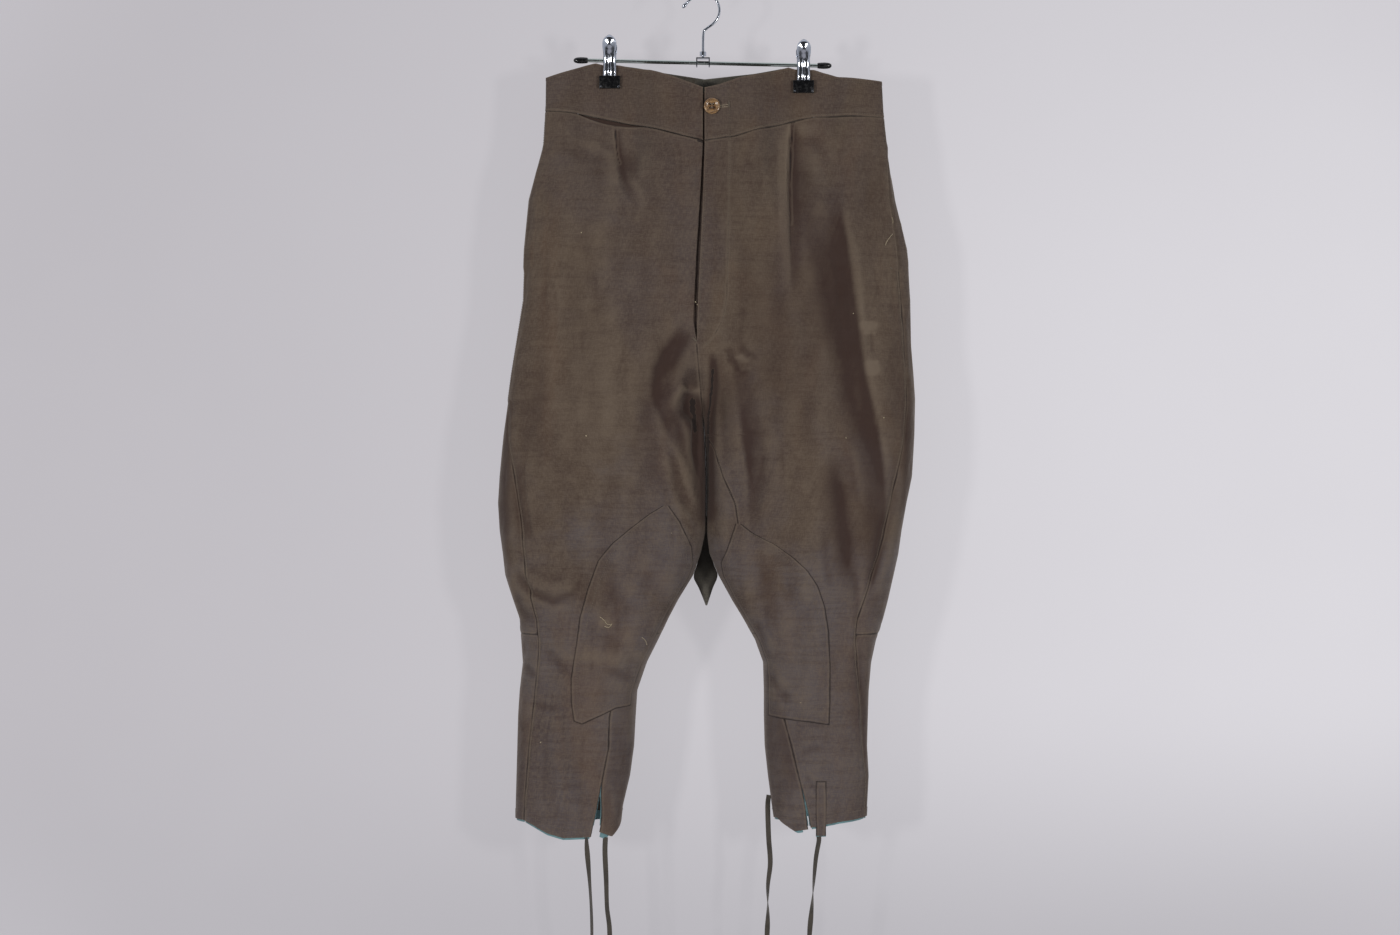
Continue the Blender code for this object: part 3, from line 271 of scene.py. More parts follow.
FINE_BACK_FOLDS = (
    (((-30, 440), (-84, 520), (-130, 610)), 3, 9, 10, 50, 60),
    (((34, 446), (88, 524), (140, 620)), 3, 10, 9, 50, 60),
    (((-10, 470), (-34, 560), (-60, 650)), 3, 12, 9, 50, 60),
    (((14, 470), (40, 560), (64, 650)), 3, 9, 12, 50, 60),
    (((-224, 520), (-214, 620), (-186, 700)), 3, 12, 10, 60, 60),
    (((236, 520), (222, 620), (192, 700)), 3, 10, 12, 60, 60),
    (((-140, 240), (-150, 340), (-146, 440)), 2, 24, 22, 80, 80),
    (((160, 240), (170, 340), (164, 440)), 2, 22, 24, 80, 80),
    (((-100, 700), (-140, 742), (-190, 756)), 3, 7, 7, 24, 30),
    (((96, 700), (140, 744), (186, 758)), 3, 7, 7, 24, 30),
    (((-90, 760), (-130, 786), (-176, 792)), 2.4, 6, 6, 20, 24),
    (((84, 764), (124, 786), (168, 792)), 2.4, 6, 6, 20, 24),
    (((-190, 830), (-150, 848), (-112, 842)), 2.6, 8, 7, 24, 24),
    (((190, 826), (150, 846), (108, 838)), 2.6, 7, 8, 24, 24),
    (((-206, 900), (-170, 912), (-130, 904)), 1.8, 7, 7, 20, 24),
    (((196, 904), (160, 916), (122, 908)), 1.8, 7, 7, 20, 24),
    (((-150, 900), (-156, 960), (-150, 1020)), 2, 14, 12, 40, 40),
    (((150, 900), (144, 960), (150, 1020)), 2, 12, 14, 40, 40),
    (((-120, 170), (-130, 200), (-140, 240)), 1.8, 7, 9, 14, 30),
    (((120, 170), (130, 200), (142, 240)), 1.8, 9, 7, 14, 30),
)

# Waves all over the cloth, as (size across, size down, seed, height).
WAVES = ((90, 260, 3, 0.9), (36, 80, 5, 0.45), (15, 22, 8, 0.16))
# Fine creases, in the same columns. Each runs along the zero line of a field, this wide.
CREASES = ((75, 300, 11, 0.6), (50, 90, 12, 0.4), (160, 60, 13, 0.35))
CREASE_WIDTH = 0.16
# The field that says where creases are many: size across, size down and seed.
CREASED_PLACES = (120, 160, 21)
# The legs touch at the inner edge, so the cloth moves sideways only from here on.
HOLD_REACH = 12.0

# Edges of the waistband and the front panels, as (x, drop).
BAND_TOP_FRONT = (
    (-196, 104), (-169, 96), (-148, 89), (-136, 86), (-126, 88.5), (-107, 88.5), (-66, 96),
    (-34, 106), (2, 119), (21, 115), (46, 106), (71, 101), (108, 91.3), (117, 93.8),
    (142, 94.5), (171, 104), (226, 109),
)
BAND_TOP_BACK = (
    (-196, 104), (-148, 89), (-136, 86), (-126, 88.5), (-107, 88.5), (-60, 94), (2, 103),
    (50, 98), (90, 94), (108, 91.3), (117, 93.8), (142, 94.5), (171, 102), (226, 109),
)
WAIST_SEAM_FRONT = (
    (-196, 146), (-158, 149), (-74, 166), (-44, 174), (2, 186),
    (40, 180), (67, 171), (94, 164), (124, 156), (140, 153), (226, 154),
)
WAIST_SEAM_BACK = ((-196, 146), (-80, 152), (2, 158), (90, 152), (226, 154))
WATCH_POCKET_SLIT = (-157, -75)
WATCH_POCKET_GAPE = 5
WATCH_POCKET_DROP = 190
WATCH_POCKET_GAP = 1.7
WATCH_POCKET_WALL = 0.9
# How much painted shade darkens the inside of the watch pocket.
WATCH_POCKET_SHADE = 0.85
WATCH_POCKET_COLUMNS, WATCH_POCKET_ROWS = 40, 16

# Hems as (share of the way across the panel, drop).
HEM_FRONT = {
    RIGHT: ((0, 1028), (0.35, 1043), (0.6, 1049), (1, 1048)),
    LEFT: ((0, 1025), (0.5, 1029), (1, 1036)),
}
HEM_CALF = {
    RIGHT: ((0, 1028), (0.15, 1027), (0.55, 1034), (0.82, 1027), (0.92, 1049), (1, 1042)),
    LEFT: ((0, 1025), (0.15, 1025), (0.55, 1030), (0.82, 1026), (0.92, 1041), (1, 1038)),
}
WAIST_LEVEL = 150
CALF_SEAM = 797
HEM_LEVEL = 1035
SLIT_GAPE = {RIGHT: 9, LEFT: 3}
SLIT_OPENS = 978
FLY_BOTTOM = 436
FLY_GAPE = ((80, 2.0), (190, 2.5), (330, 5.0), (410, 5.0), (436, 0.0))
UNDERLAP_SIDES = (-14, 34)
UNDERLAP_ENDS = (124, 430)
UNDERLAP_DEPTH = 3.6
UNDERLAP_WALL = 1.0
# How much painted shade darkens the strip behind the fly.
UNDERLAP_SHADE = 0.3
UNDERLAP_COLUMNS, UNDERLAP_ROWS = 18, 90
FLY_LAP_REACH = 34
FLY_LAP_SLOPE = 8
FLY_LAP_RISE = 2.2
UNDERLAP_BACK = FLY_LAP_RISE * 0.4
FLY_LAP_FADE = 70

# Knee patches: (drop, x) down the outer and the inner edge, (share across, drop) below.
PATCH_OUTER = {
    RIGHT: ((638, -50), (649, -68), (666, -90), (685, -113), (705, -129), (740, -142),
            (776, -152), (808, -156), (850, -163), (880, -163), (908, -159)),
    LEFT: ((660, 47), (672, 62), (685, 88), (702, 112), (718, 129), (736, 141), (762, 150),
           (793, 155), (836, 157), (880, 157), (908, 156)),
}
PATCH_INNER = {
    RIGHT: ((638, -42), (658, -28), (689, -14), (710, -12), (725, -17), (756, -36), (779, -49),
            (806, -62), (834, -76), (869, -88), (890, -90)),
    LEFT: ((660, 40), (693, 29), (709, 22), (725, 25), (756, 41), (779, 55), (806, 70), (834, 80),
           (869, 81), (902, 81)),
}
PATCH_BOTTOM = {
    RIGHT: ((0, 904), (0.15, 908), (0.35, 901), (0.7, 889), (1, 886)),
    LEFT: ((0, 909), (0.35, 905), (0.7, 902), (1, 899)),
}
PATCH_LIFT = 1.0

# Widths of the turned cloth along the edges, and how far in from them stitches run.
SIDE_TURNING, SIDE_ROW = 9, 3
FLY_TURNING, FLY_ROW, FLY_EDGE_ROW = 34, 33, 3
RIGHT_FLY_TURNING, RIGHT_FLY_ROW = 20, 4
INNER_TURNING = 7
SEAT_TURNING, SEAT_ROW = 8, 7
HEM_TURNING, HEM_ROW = 11, 10
SLIT_TURNING = 8
CALF_TURNING = 8
BAND_TOP_TURNING, BAND_TOP_ROW = 6, 5
BAND_LOW_TURNING, BAND_LOW_ROW = 5, 3
BAND_END_ROW = 4
# The slash pocket's mouth: where it begins and ends, and its facings before and behind.
POCKET_TOP, POCKET_LOW = (184, 194), (340, 350)
POCKET_FACING, POCKET_BACK_FACING = 22, 14

# Fineness of the visible cloth.
LEVEL_STEP = 2
LEVEL_TOP = 78
LEVEL_BOTTOM = 1060
SECTION_POINTS = 241
ACROSS_POINTS = 301
CLOTH_WALL = 1.1
BAND_WALL = 1.8
BAND_SEAM_DIP = 0.5
PATCH_WALL = 0.9
FRONT_COLUMNS, FRONT_ROWS = 126, 370
BACK_COLUMNS, BACK_ROWS = 104, 190
CALF_COLUMNS, CALF_ROWS = 90, 84
BAND_COLUMNS, BAND_ROWS = 84, 26
PATCH_COLUMNS, PATCH_ROWS = 44, 92
TRIM_SHARE = 0.08

# Ties: routes as (x, y, drop), the same as in the solids.
TIE_WIDTH = 6.4
TIE_THICKNESS = 1.0
TIE_EDGE = 0.4
TIE_STEP = 2.5
TIE_ROUTES = {
    "tie_right_outer": (
        (-144, -31.8, 1048.8), (-144, -31.8, 1056), (-143, -31, 1070), (-140, -29, 1110),
        (-138, -28, 1149), (-138, -29, 1185), (-142, -31, 1230), (-139, -30, 1300)),
    "tie_right_inner": (
        (-121, -25.0, 1049.3), (-121.5, -25.5, 1068), (-120, -26, 1102), (-119, -25, 1136),
        (-116, -23, 1163), (-116, -22, 1200), (-119, -24, 1250), (-117, -25, 1302)),
    "tie_left_inner": (
        (82.2, -1, 1000), (80.9, -2, 1015), (82, -3, 1053), (84, -4, 1084), (81, -5, 1113),
        (81, -4, 1149), (80, -3, 1185), (83, -4, 1230), (81, -3, 1252)),
    "tie_left_outer": (
        (143, -35, 1046.7), (143, -35, 1053), (139, -34, 1078), (135, -32, 1130),
        (132, -31, 1165), (131, -30, 1200), (134, -31, 1245), (133, -30, 1298)),
}

# Camera and stage.
CAMERA_PLACE = (-3.75, -3000.0, 590.9)
CAMERA_FIELD = 1750.0
SENSOR = 36.0
VIEW_END = 50.0


def column(rows, index, drop):
    """Read one column of a table at the given drops."""
    return np.interp(drop, [row[0] for row in rows], [row[index] for row in rows])


def along(pairs, place):
    """Read a short table of pairs at a place."""
    return np.interp(place, [pair[0] for pair in pairs], [pair[1] for pair in pairs])


def ease(low, high, value):
    """Rise smoothly from 0 at low to 1 at high."""
    share = np.clip((np.asarray(value, float) - low) / (high - low), 0.0, 1.0)
    return share * share * (3.0 - 2.0 * share)


def pinch(x, y, drop):
    """Press a section flat under the two clips."""
    fade = 1.0 - ease(PINCH_DROP, PINCH_END, drop)
    beside = np.min([np.abs(x - centre) for centre in CLIP_CENTRES], axis=0)
    share = fade * (1.0 - ease(PINCH_HALF_WIDTH, PINCH_HALF_WIDTH + PINCH_FADE, beside))
    return y * (1.0 - share) + np.minimum(y, PINCHED_DEPTH) * share


def half_section(leg, face, drop):
    """Points and outward normals (x, y, nx, ny) from the outer edge to the inner edge."""
    rows = LEG_OUTLINE[leg]
    share = float(ease(CROTCH_TOP, CROTCH_BOTTOM, drop))
    outer = column(rows, OUTER_EDGE, drop)
    inner = column(rows, INNER_EDGE, drop) + leg * FORK_GAP * share
    depth = column(DEPTHS, 1 if face == FRONT else 2, drop)
    turn = np.linspace(0.0, math.pi, SECTION_POINTS)
    power = 2.0 / ROUNDNESS
    torso_x = inner + (outer - inner) * np.cos(turn / 2).clip(0.0) ** power
    torso_y = depth * np.sin(turn / 2) ** power
    cosine = np.cos(turn)
    leg_x = (outer + inner) / 2 + (outer - inner) / 2 * np.sign(cosine) * np.abs(cosine) ** power
    leg_y = depth * np.sin(turn).clip(0.0) ** power
    x = torso_x * (1.0 - share) + leg_x * share
    y = face * pinch(x, torso_y * (1.0 - share) + leg_y * share, drop)
    tangent = np.gradient(np.column_stack((x, y)), axis=0)
    tangent[0] = (0.0, face)
    if share > 0.99:
        tangent[-1] = (0.0, -face)
    tangent /= np.linalg.norm(tangent, axis=1)[:, None]
    normal = np.column_stack((tangent[:, 1], -tangent[:, 0])) * face * leg
    return np.column_stack((x, y, normal))


def distances(points):
    """How far along a line each of its points is."""
    steps = np.linalg.norm(np.diff(points, axis=0), axis=1)
    return np.concatenate(([0.0], np.cumsum(steps)))


def lengths(points):
    """The same for a level line, whose points carry their normals."""
    return distances(points[:, :2])


def grid_normals(points):
    """Unit normals of a grid of points. Which side they point to depends on its direction."""
    normals = np.cross(np.gradient(points, axis=1), np.gradient(points, axis=0))
    return normals / np.linalg.norm(normals, axis=2)[:, :, None]


def read_line(points, at, places):
    """Points at some distances along a line, whose own points lie at the distances at."""
    return np.column_stack([np.interp(places, at, values) for values in points.T])


def stretch(points, start, end):
    """The part of a line between two distances, in that direction."""
    at = lengths(points)
    low, high = min(start, end), max(start, end)
    inside = at[(at > low + 0.001) & (at < high - 0.001)]
    piece = read_line(points, at, np.concatenate(([low], inside, [high])))
    return piece if start <= end else piece[::-1]


def where_x(points, leg, x):
    """Distance along a front half section at which it passes x."""
    return float(np.interp(-leg * x, -leg * points[:, 0], lengths(points)))


def panel_line(leg, piece, drop):
    """One level of a piece. "front" and "face" start at the side seam and end at the inner seam
    or the inner edge. "back" starts at the side seam and goes round the back."""
    rows = LEG_OUTLINE[leg]
    front = half_section(leg, FRONT, drop)
    side = where_x(front, leg, column(rows, SIDE_SEAM, drop))
    edge = lengths(front)[-1]
    seam = edge
    if drop > CROTCH_BOTTOM:
        seam = where_x(front, leg, column(rows, INNER_SEAM, drop))
    if piece == "face":
        return stretch(front, side, edge)
    if piece == "front":
        return stretch(front, side, seam)
    pieces = [half_section(leg, BACK, drop)]
    if side > 0.01:
        pieces.insert(0, stretch(front, side, 0.0)[:-1])
    if edge - seam > 0.01:
        pieces.append(stretch(front, edge, seam)[1:])
    return np.vstack(pieces)


def fold_depth(x, drop, folds):
    """Add up the folds' depths at the given places."""
    total = np.zeros_like(x, dtype=float)
    for points, depth, reach_low, reach_high, fade_top, fade_bottom in folds:
        best = np.full_like(total, 1e9)
        signed = np.zeros_like(total)
        place = np.zeros_like(total)
        done = 0.0
        for (x0, d0), (x1, d1) in zip(points[:-1], points[1:]):
            length = math.hypot(x1 - x0, d1 - d0)
            ux, ud = (x1 - x0) / length, (d1 - d0) / length
            part = np.clip((x - x0) * ux + (drop - d0) * ud, 0.0, length)
            dx, dd = x - (x0 + part * ux), drop - (d0 + part * ud)
            distance = np.hypot(dx, dd)
            nearer = distance < best
            best = np.where(nearer, distance, best)
            signed = np.where(nearer, dx * ud - dd * ux, signed)
            place = np.where(nearer, done + part, place)
            done += length
        reach = np.where(signed < 0.0, reach_low, reach_high)
        ends = ease(0.0, fade_top, place) * ease(0.0, fade_bottom, done - place)
        total += depth * np.exp(-(best / reach) ** 2) * ends
    return total


def rumple(x, y, drop, across, down, seed):
    """A smooth uneven field of about unit size, the same on both sides of a seam."""
    chance = np.random.default_rng(seed)
    total = np.zeros_like(x, dtype=float)
    for _ in range(9):
        kx, ky = chance.normal(0.0, 2 * math.pi / across, 2)
        kz = chance.normal(0.0, 2 * math.pi / down)
        total += np.sin(kx * x + ky * y * 0.6 + kz * drop + chance.uniform(0, 2 * math.pi))
    return total / 3.0


class Cloth:
    """The outer side of one piece with all its folds, read at shares across it and at drops."""

    def __init__(self, leg, piece):
        self.levels = np.arange(LEVEL_TOP, LEVEL_BOTTOM + LEVEL_STEP, LEVEL_STEP, dtype=float)
        shares = np.linspace(0.0, 1.0, ACROSS_POINTS)
        base = np.zeros((len(self.levels), ACROSS_POINTS, 4))
        self.widths = np.zeros(len(self.levels))
        for index, drop in enumerate(self.levels):
            line = panel_line(leg, piece, drop)
            inner_gap = FORK_GAP if drop < CROTCH_BOTTOM else SEAM_GAP / 2
            line = stretch(line, SEAM_GAP / 2, lengths(line)[-1] - inner_gap)
            at = lengths(line)
            base[index] = read_line(line, at, shares * at[-1])
            self.widths[index] = at[-1]
        x, y, nx, ny = np.moveaxis(base, 2, 0)
        size = np.hypot(nx, ny)
        nx, ny = nx / size, ny / size
        drops = np.broadcast_to(self.levels[:, None], x.shape)
        front, back = ease(0.05, 0.7, -ny), ease(0.05, 0.7, ny)
        depth = fold_depth(x, drops, FRONT_FOLDS + FINE_FRONT_FOLDS) * front
        depth += fold_depth(x, drops, BACK_FOLDS + FINE_BACK_FOLDS) * back
        calm = ease(140, 230, drops) * ease(0.05, 0.5, np.abs(ny))
        for across, down, seed, height in WAVES:
            depth += height * calm * rumple(x, y, drops, across, down, seed)
        some = ease(-0.3, 0.9, rumple(x, y, drops, *CREASED_PLACES))
        for across, down, seed, height in CREASES:
            field = rumple(x, y, drops, across, down, seed) / CREASE_WIDTH
            depth += height * calm * some * np.exp(-field ** 2)
        self.inner_edge = column(LEG_OUTLINE[leg], INNER_EDGE, self.levels)
        px, py = x - nx * depth * self.hold(x, drops), y - ny * depth
        if leg == LEFT and piece != "back":
            py = py - self.fly_rise(x, drops)
        points = np.stack((px, py, -drops), axis=2)
        normal = grid_normals(points)
        outward = np.sign(normal[:, :, 0] * nx + normal[:, :, 1] * ny)
        normal *= np.where(outward == 0.0, 1.0, outward)[:, :, None]
        self.table = np.concatenate((points, normal, depth[:, :, None]), axis=2)

    def hold(self, x, drops):
        """0 at the inner edge, where the two legs touch, and 1 a little away from it."""
        return ease(0.0, HOLD_REACH, np.abs(x - np.interp(drops, self.levels, self.inner_edge)))

    @staticmethod
    def fly_rise(x, drops):
        """Let the left front stand a little over the right one beside the fly."""
        centre = column(LEG_OUTLINE[LEFT], INNER_EDGE, drops)
        fade = 1.0 - ease(FLY_BOTTOM - FLY_LAP_FADE, FLY_BOTTOM, drops)
        beside = ease(FLY_LAP_REACH - FLY_LAP_SLOPE, FLY_LAP_REACH, x - centre)
        return FLY_LAP_RISE * fade * (1.0 - beside)

    def read(self, share, drop):
        """Points, normals and fold depths, mixed from the four nearest places of the table."""
        share, drop = np.broadcast_arrays(np.asarray(share, float), np.asarray(drop, float))
        row = np.clip((drop - self.levels[0]) / LEVEL_STEP, 0, len(self.levels) - 1.001)
        col = np.clip(share, 0.0, 1.0) * (ACROSS_POINTS - 1)
        r0 = row.astype(int)
        c0 = np.minimum(col.astype(int), ACROSS_POINTS - 2)
        lower_share, right_share = (row - r0)[..., None], (col - c0)[..., None]
        left, right = self.table[:, :-1], self.table[:, 1:]
        upper = left[r0, c0] * (1 - right_share) + right[r0, c0] * right_share
        lower = left[r0 + 1, c0] * (1 - right_share) + right[r0 + 1, c0] * right_share
        mixed = upper * (1 - lower_share) + lower * lower_share
        normals = mixed[..., 3:6] / np.linalg.norm(mixed[..., 3:6], axis=-1)[..., None]
        points = mixed[..., :3].copy()
        points[..., 2] = -drop
        return points, normals, mixed[..., 6]

    def width(self, drop):
        """Length across the piece at a drop."""
        return np.interp(drop, self.levels, self.widths)

    def share_at_x(self, x, drop):
        """Share across a front at which it passes x."""
        row = self.read(np.linspace(0.0, 1.0, ACROSS_POINTS), drop)[0][:, 0]
        turn = 1.0 if row[-1] > row[0] else -1.0
        rising = np.maximum.accumulate(row * turn)
        return float(np.interp(x * turn, rising, np.linspace(0.0, 1.0, ACROSS_POINTS)))

    def on_front(self, places):
        """Points and normals of a front at places given as (x, drop)."""
        shares = [self.share_at_x(x, drop) for x, drop in places]
        points, normals, _ = self.read(shares, [drop for _, drop in places])
        return points, normals


def linear(red, green, blue):
    """A screen colour of 0 to 255 as a linear colour."""
    values = [value / 255.0 for value in (red, green, blue)]
    dark = [value / 12.92 for value in values]
    light = [((value + 0.055) / 1.055) ** 2.4 for value in values]
    return tuple(d if v <= 0.04045 else l for v, d, l in zip(values, dark, light)) + (1.0,)


class Nodes:
    """A node tree, with short calls for its nodes."""

    def __init__(self, owner):
        owner.use_nodes = True
        self.tree = owner.node_tree
        self.tree.nodes.clear()

    def node(self, kind, inputs, **settings):
        """Add a node; an input takes a number, a colour or another node's output."""
        node = self.tree.nodes.new("ShaderNode" + kind)
        for name, value in settings.items():
            setattr(node, name, value)
        for name, value in inputs.items():
            socket = node.inputs[name]
            if isinstance(value, bpy.types.NodeSocket):
                self.tree.links.new(value, socket)
            else:
                socket.default_value = value
        return node

    def value(self, operation, first, second=0.0, third=0.0):
        """A number worked out from others."""
        inputs = {0: first, 1: second, 2: third}
        return self.node("Math", inputs, operation=operation).outputs[0]

    def wave(self, value, length):
        """A sine of the given wavelength."""
        return self.value("SINE", self.value("MULTIPLY", value, 2 * math.pi / length))

    def ribs(self, value, length):
        """The same, from 0 to 1."""
        return self.value("MULTIPLY_ADD", self.wave(value, length), 0.5, 0.5)

    def mix(self, share, first, second):
        """A colour between two colours."""
        return self.node("Mix", {0: share, 6: first, 7: second}, data_type="RGBA").outputs[2]

    def noise(self, place, scale, detail, stretch=(1, 1, 1), distortion=0.0):
        """A noise value at a place, with its own stretch."""
        mapped = self.node("Mapping", {"Vector": place, "Scale": stretch}).outputs[0]
        inputs = {"Vector": mapped, "Scale": scale, "Detail": detail,
                  "Roughness": 0.6, "Distortion": distortion}
        return self.node("TexNoise", inputs).outputs[0]

    def spread(self, value, low, high, to_low=0.0, to_high=1.0, shape="SMOOTHSTEP"):
        """Map a value from one range to another."""
        inputs = {"Value": value, "From Min": low, "From Max": high,
                  "To Min": to_low, "To Max": to_high}
        return self.node("MapRange", inputs, interpolation_type=shape).outputs[0]

    def place(self, kind="Object"):
        """The place on the object, in metres."""
        return self.node("TexCoord", {}).outputs[kind]

    def flat(self):
        """The place on the flat cloth, in metres."""
        return self.node("UVMap", {}, uv_map="flat").outputs[0]

    def axes(self, place):
        """The X, Y and Z of a place."""
        return self.node("SeparateXYZ", {"Vector": place}).outputs


class Shader(Nodes):
    """A node material."""

    def __init__(self, name):
        self.material = bpy.data.materials.new(name)
        super().__init__(self.material)

    def attribute(self, name):
        """A value painted on the mesh's points."""
        return self.node("Attribute", {}, attribute_name=name).outputs["Fac"]

    def finish(self, inputs, bumps=()):
        """Close the material. Each bump is a height, a distance and a strength."""
        normal = None
        for height, distance, strength in bumps:
            settings = {"Height": height, "Distance": distance, "Strength": strength}
            if normal is not None:
                settings["Normal"] = normal
            normal = self.node("Bump", settings).outputs[0]
        if normal is not None:
            inputs = {**inputs, "Normal": normal}
        shader = self.node("BsdfPrincipled", inputs)
        self.node("OutputMaterial", {"Surface": shader.outputs[0]})
        return self.material


# The weave's wavelengths, in metres.
TWILL_PITCH = 0.0011
PLAIN_PITCH = 0.0009
TAPE_RIB_PITCH = 0.0008
RUST_TONE = linear(88, 66, 49)
SEAM_SHADE = linear(24, 19, 18)


def cloth_material(name, tone, lower_tone, grey_tone, dark_tone, light_tone, twill=True):
    """Worn cotton: mottled dye, a weave, slubs, wear with painted highlight on ridges, dirt with
    painted shade in folds, painted shade and highlight at seams.
    """
    shader = Shader(name)
    place, flat = shader.place(), shader.flat()
    height = shader.axes(place)["Z"]
    blotch = shader.noise(place, 7.0, 5.0, distortion=0.6)
    streak = shader.noise(place, 60.0, 3.0, (1.0, 1.0, 0.12))
    cloud = shader.noise(place, 34.0, 4.0)
    slub = shader.noise(flat, 700.0, 2.0, (1.0, 0.25, 1.0))
    cross_slub = shader.noise(flat, 700.0, 2.0, (0.25, 1.0, 1.0))
    level = shader.value("ADD", height, shader.spread(blotch, 0.3, 0.7, -0.12, 0.12))
    colour = shader.mix(shader.spread(level, -0.56, -0.8), tone, lower_tone)
    mauve = shader.noise(place, 4.5, 4.0, (1.0, 1.0, 0.6), distortion=0.8)
    colour = shader.mix(shader.spread(mauve, 0.44, 0.62, 0.0, 0.75), colour, grey_tone)
    colour = shader.mix(shader.spread(blotch, 0.42, 0.7, 0.0, 0.35), colour, dark_tone)
    colour = shader.mix(shader.spread(cloud, 0.46, 0.72, 0.0, 0.16), colour, light_tone)
    colour = shader.mix(shader.spread(streak, 0.4, 0.75, 0.0, 0.28), colour, dark_tone)
    weft = shader.noise(place, 240.0, 3.0, (0.08, 0.08, 1.0))
    colour = shader.mix(shader.spread(weft, 0.42, 0.66, 0.0, 0.3), colour, dark_tone)
    rust = shader.noise(place, 11.0, 4.0, (1.0, 1.0, 0.35), distortion=0.7)
    colour = shader.mix(shader.spread(rust, 0.48, 0.72, 0.0, 0.4), colour, RUST_TONE)
    threads = shader.value("MULTIPLY", slub, cross_slub)
    colour = shader.mix(shader.spread(threads, 0.16, 0.36, 0.0, 0.35), colour, light_tone)
    # Painted highlight and wear on ridges and fold edges, then dirt and painted shade in folds,
    # hollows and openings.
    colour = shader.mix(shader.attribute("wear_and_highlight"), colour, light_tone)
    colour = shader.mix(shader.attribute("dirt_and_shade"), colour, dark_tone)
    # Beside each seam, sharp crease and stitched line a thin band of painted highlight, and on it
    # painted shade, black in the deepest openings.
    rim = shader.value("ADD", shader.attribute("rim"), shader.spread(cloud, 0.3, 0.7, -0.5, 0.5))
    lit = shader.value("MULTIPLY", shader.spread(rim, 1.0, 1.9),
                       shader.spread(rim, 2.2, 4.2, 1.0, 0.0))
    colour = shader.mix(shader.value("MULTIPLY", lit, 0.3), colour, light_tone)
    colour = shader.mix(shader.spread(rim, 0.0, 1.5, 0.8, 0.0), colour, SEAM_SHADE)
    u, v, _ = shader.axes(flat)
    if twill:
        weave = shader.ribs(shader.value("ADD", u, v), TWILL_PITCH)
    else:
        weave = shader.value("MULTIPLY", shader.wave(u, PLAIN_PITCH), shader.wave(v, PLAIN_PITCH))
    colour = shader.mix(shader.spread(weave, 0.0, 1.0, 0.12, 0.0), colour, dark_tone)
    return shader.finish(
        {"Base Color": colour, "Roughness": shader.spread(cloud, 0.3, 0.7, 0.82, 0.95),
         "Specular IOR Level": 0.25, "Sheen Weight": 0.22, "Sheen Roughness": 0.55,
         "Sheen Tint": (0.62, 0.56, 0.48, 1.0)},
        [(cloud, 0.0012, 0.35), (threads, 0.0004, 0.5), (weave, 0.00012, 0.5)])


def thread_material(name, tone):
    """Twisted sewing thread."""
    shader = Shader(name)
    place = shader.place()
    grain = shader.noise(place, 900.0, 2.0)
    colour = shader.mix(shader.spread(grain, 0.35, 0.7, 0.0, 0.5), tone, linear(50, 44, 38))
    return shader.finish({"Base Color": colour, "Roughness": 0.75, "Sheen Weight": 0.2},
                         [(grain, 0.0002, 0.4)])


def metal_material(name, tone, roughness, grimy):
    """Bright plated metal with fine scratches and a little grime."""
    shader = Shader(name)
    place = shader.place()
    grime = shader.noise(place, 160.0, 5.0)
    scratch = shader.noise(place, 900.0, 2.0, (1.0, 1.0, 0.1))
    colour = shader.mix(shader.spread(grime, 0.55, 0.8, 0.0, grimy), tone, linear(120, 116, 112))
    rough = shader.spread(scratch, 0.3, 0.8, roughness, roughness + 0.16)
    return shader.finish({"Base Color": colour, "Metallic": 1.0, "Roughness": rough},
                         [(scratch, 0.00006, 0.25)])


def black_material():
    """Soft black plastic with dust."""
    shader = Shader("black_plastic")
    place = shader.place()
    dust = shader.noise(place, 260.0, 5.0)
    dusty = shader.spread(dust, 0.5, 0.8, 0.0, 0.2)
    colour = shader.mix(dusty, linear(9, 9, 11), linear(52, 52, 54))
    rough = shader.spread(dust, 0.4, 0.7, 0.22, 0.42)
    return shader.finish({"Base Color": colour, "Roughness": rough}, [(dust, 0.0002, 0.3)])


def horn_material():
    """Polished horn or horn-like plastic: amber with darker streaks."""
    shader = Shader("horn")
    place = shader.place()
    streak = shader.noise(place, 110.0, 4.0, (1.0, 1.0, 2.2), distortion=1.6)
    fleck = shader.noise(place, 700.0, 3.0)
    colour = shader.mix(shader.spread(streak, 0.34, 0.66), linear(152, 119, 78), linear(84, 58, 36))
    colour = shader.mix(shader.spread(fleck, 0.55, 0.75, 0.0, 0.4), colour, linear(182, 154, 112))
    rough = shader.spread(fleck, 0.3, 0.7, 0.2, 0.34)
    return shader.finish({"Base Color": colour, "Roughness": rough, "Coat Weight": 0.3,
                          "Coat Roughness": 0.15}, [(fleck, 0.0001, 0.2)])


def tape_material(name, tone, dark_tone):
    """Narrow woven tape with fine ribs along it."""
    shader = Shader(name)
    place, flat = shader.place(), shader.flat()
    rib = shader.ribs(shader.axes(flat)["X"], TAPE_RIB_PITCH)
    cloud = shader.noise(place, 90.0, 4.0)
    fray = shader.noise(flat, 1500.0, 2.0)
    colour = shader.mix(shader.spread(cloud, 0.4, 0.7, 0.0, 0.6), tone, dark_tone)
    colour = shader.mix(shader.spread(rib, 0.0, 1.0, 0.3, 0.0), colour, dark_tone)
    return shader.finish({"Base Color": colour, "Roughness": 0.88, "Sheen Weight": 0.25},
                         [(rib, 0.0002, 0.5), (fray, 0.0003, 0.5)])


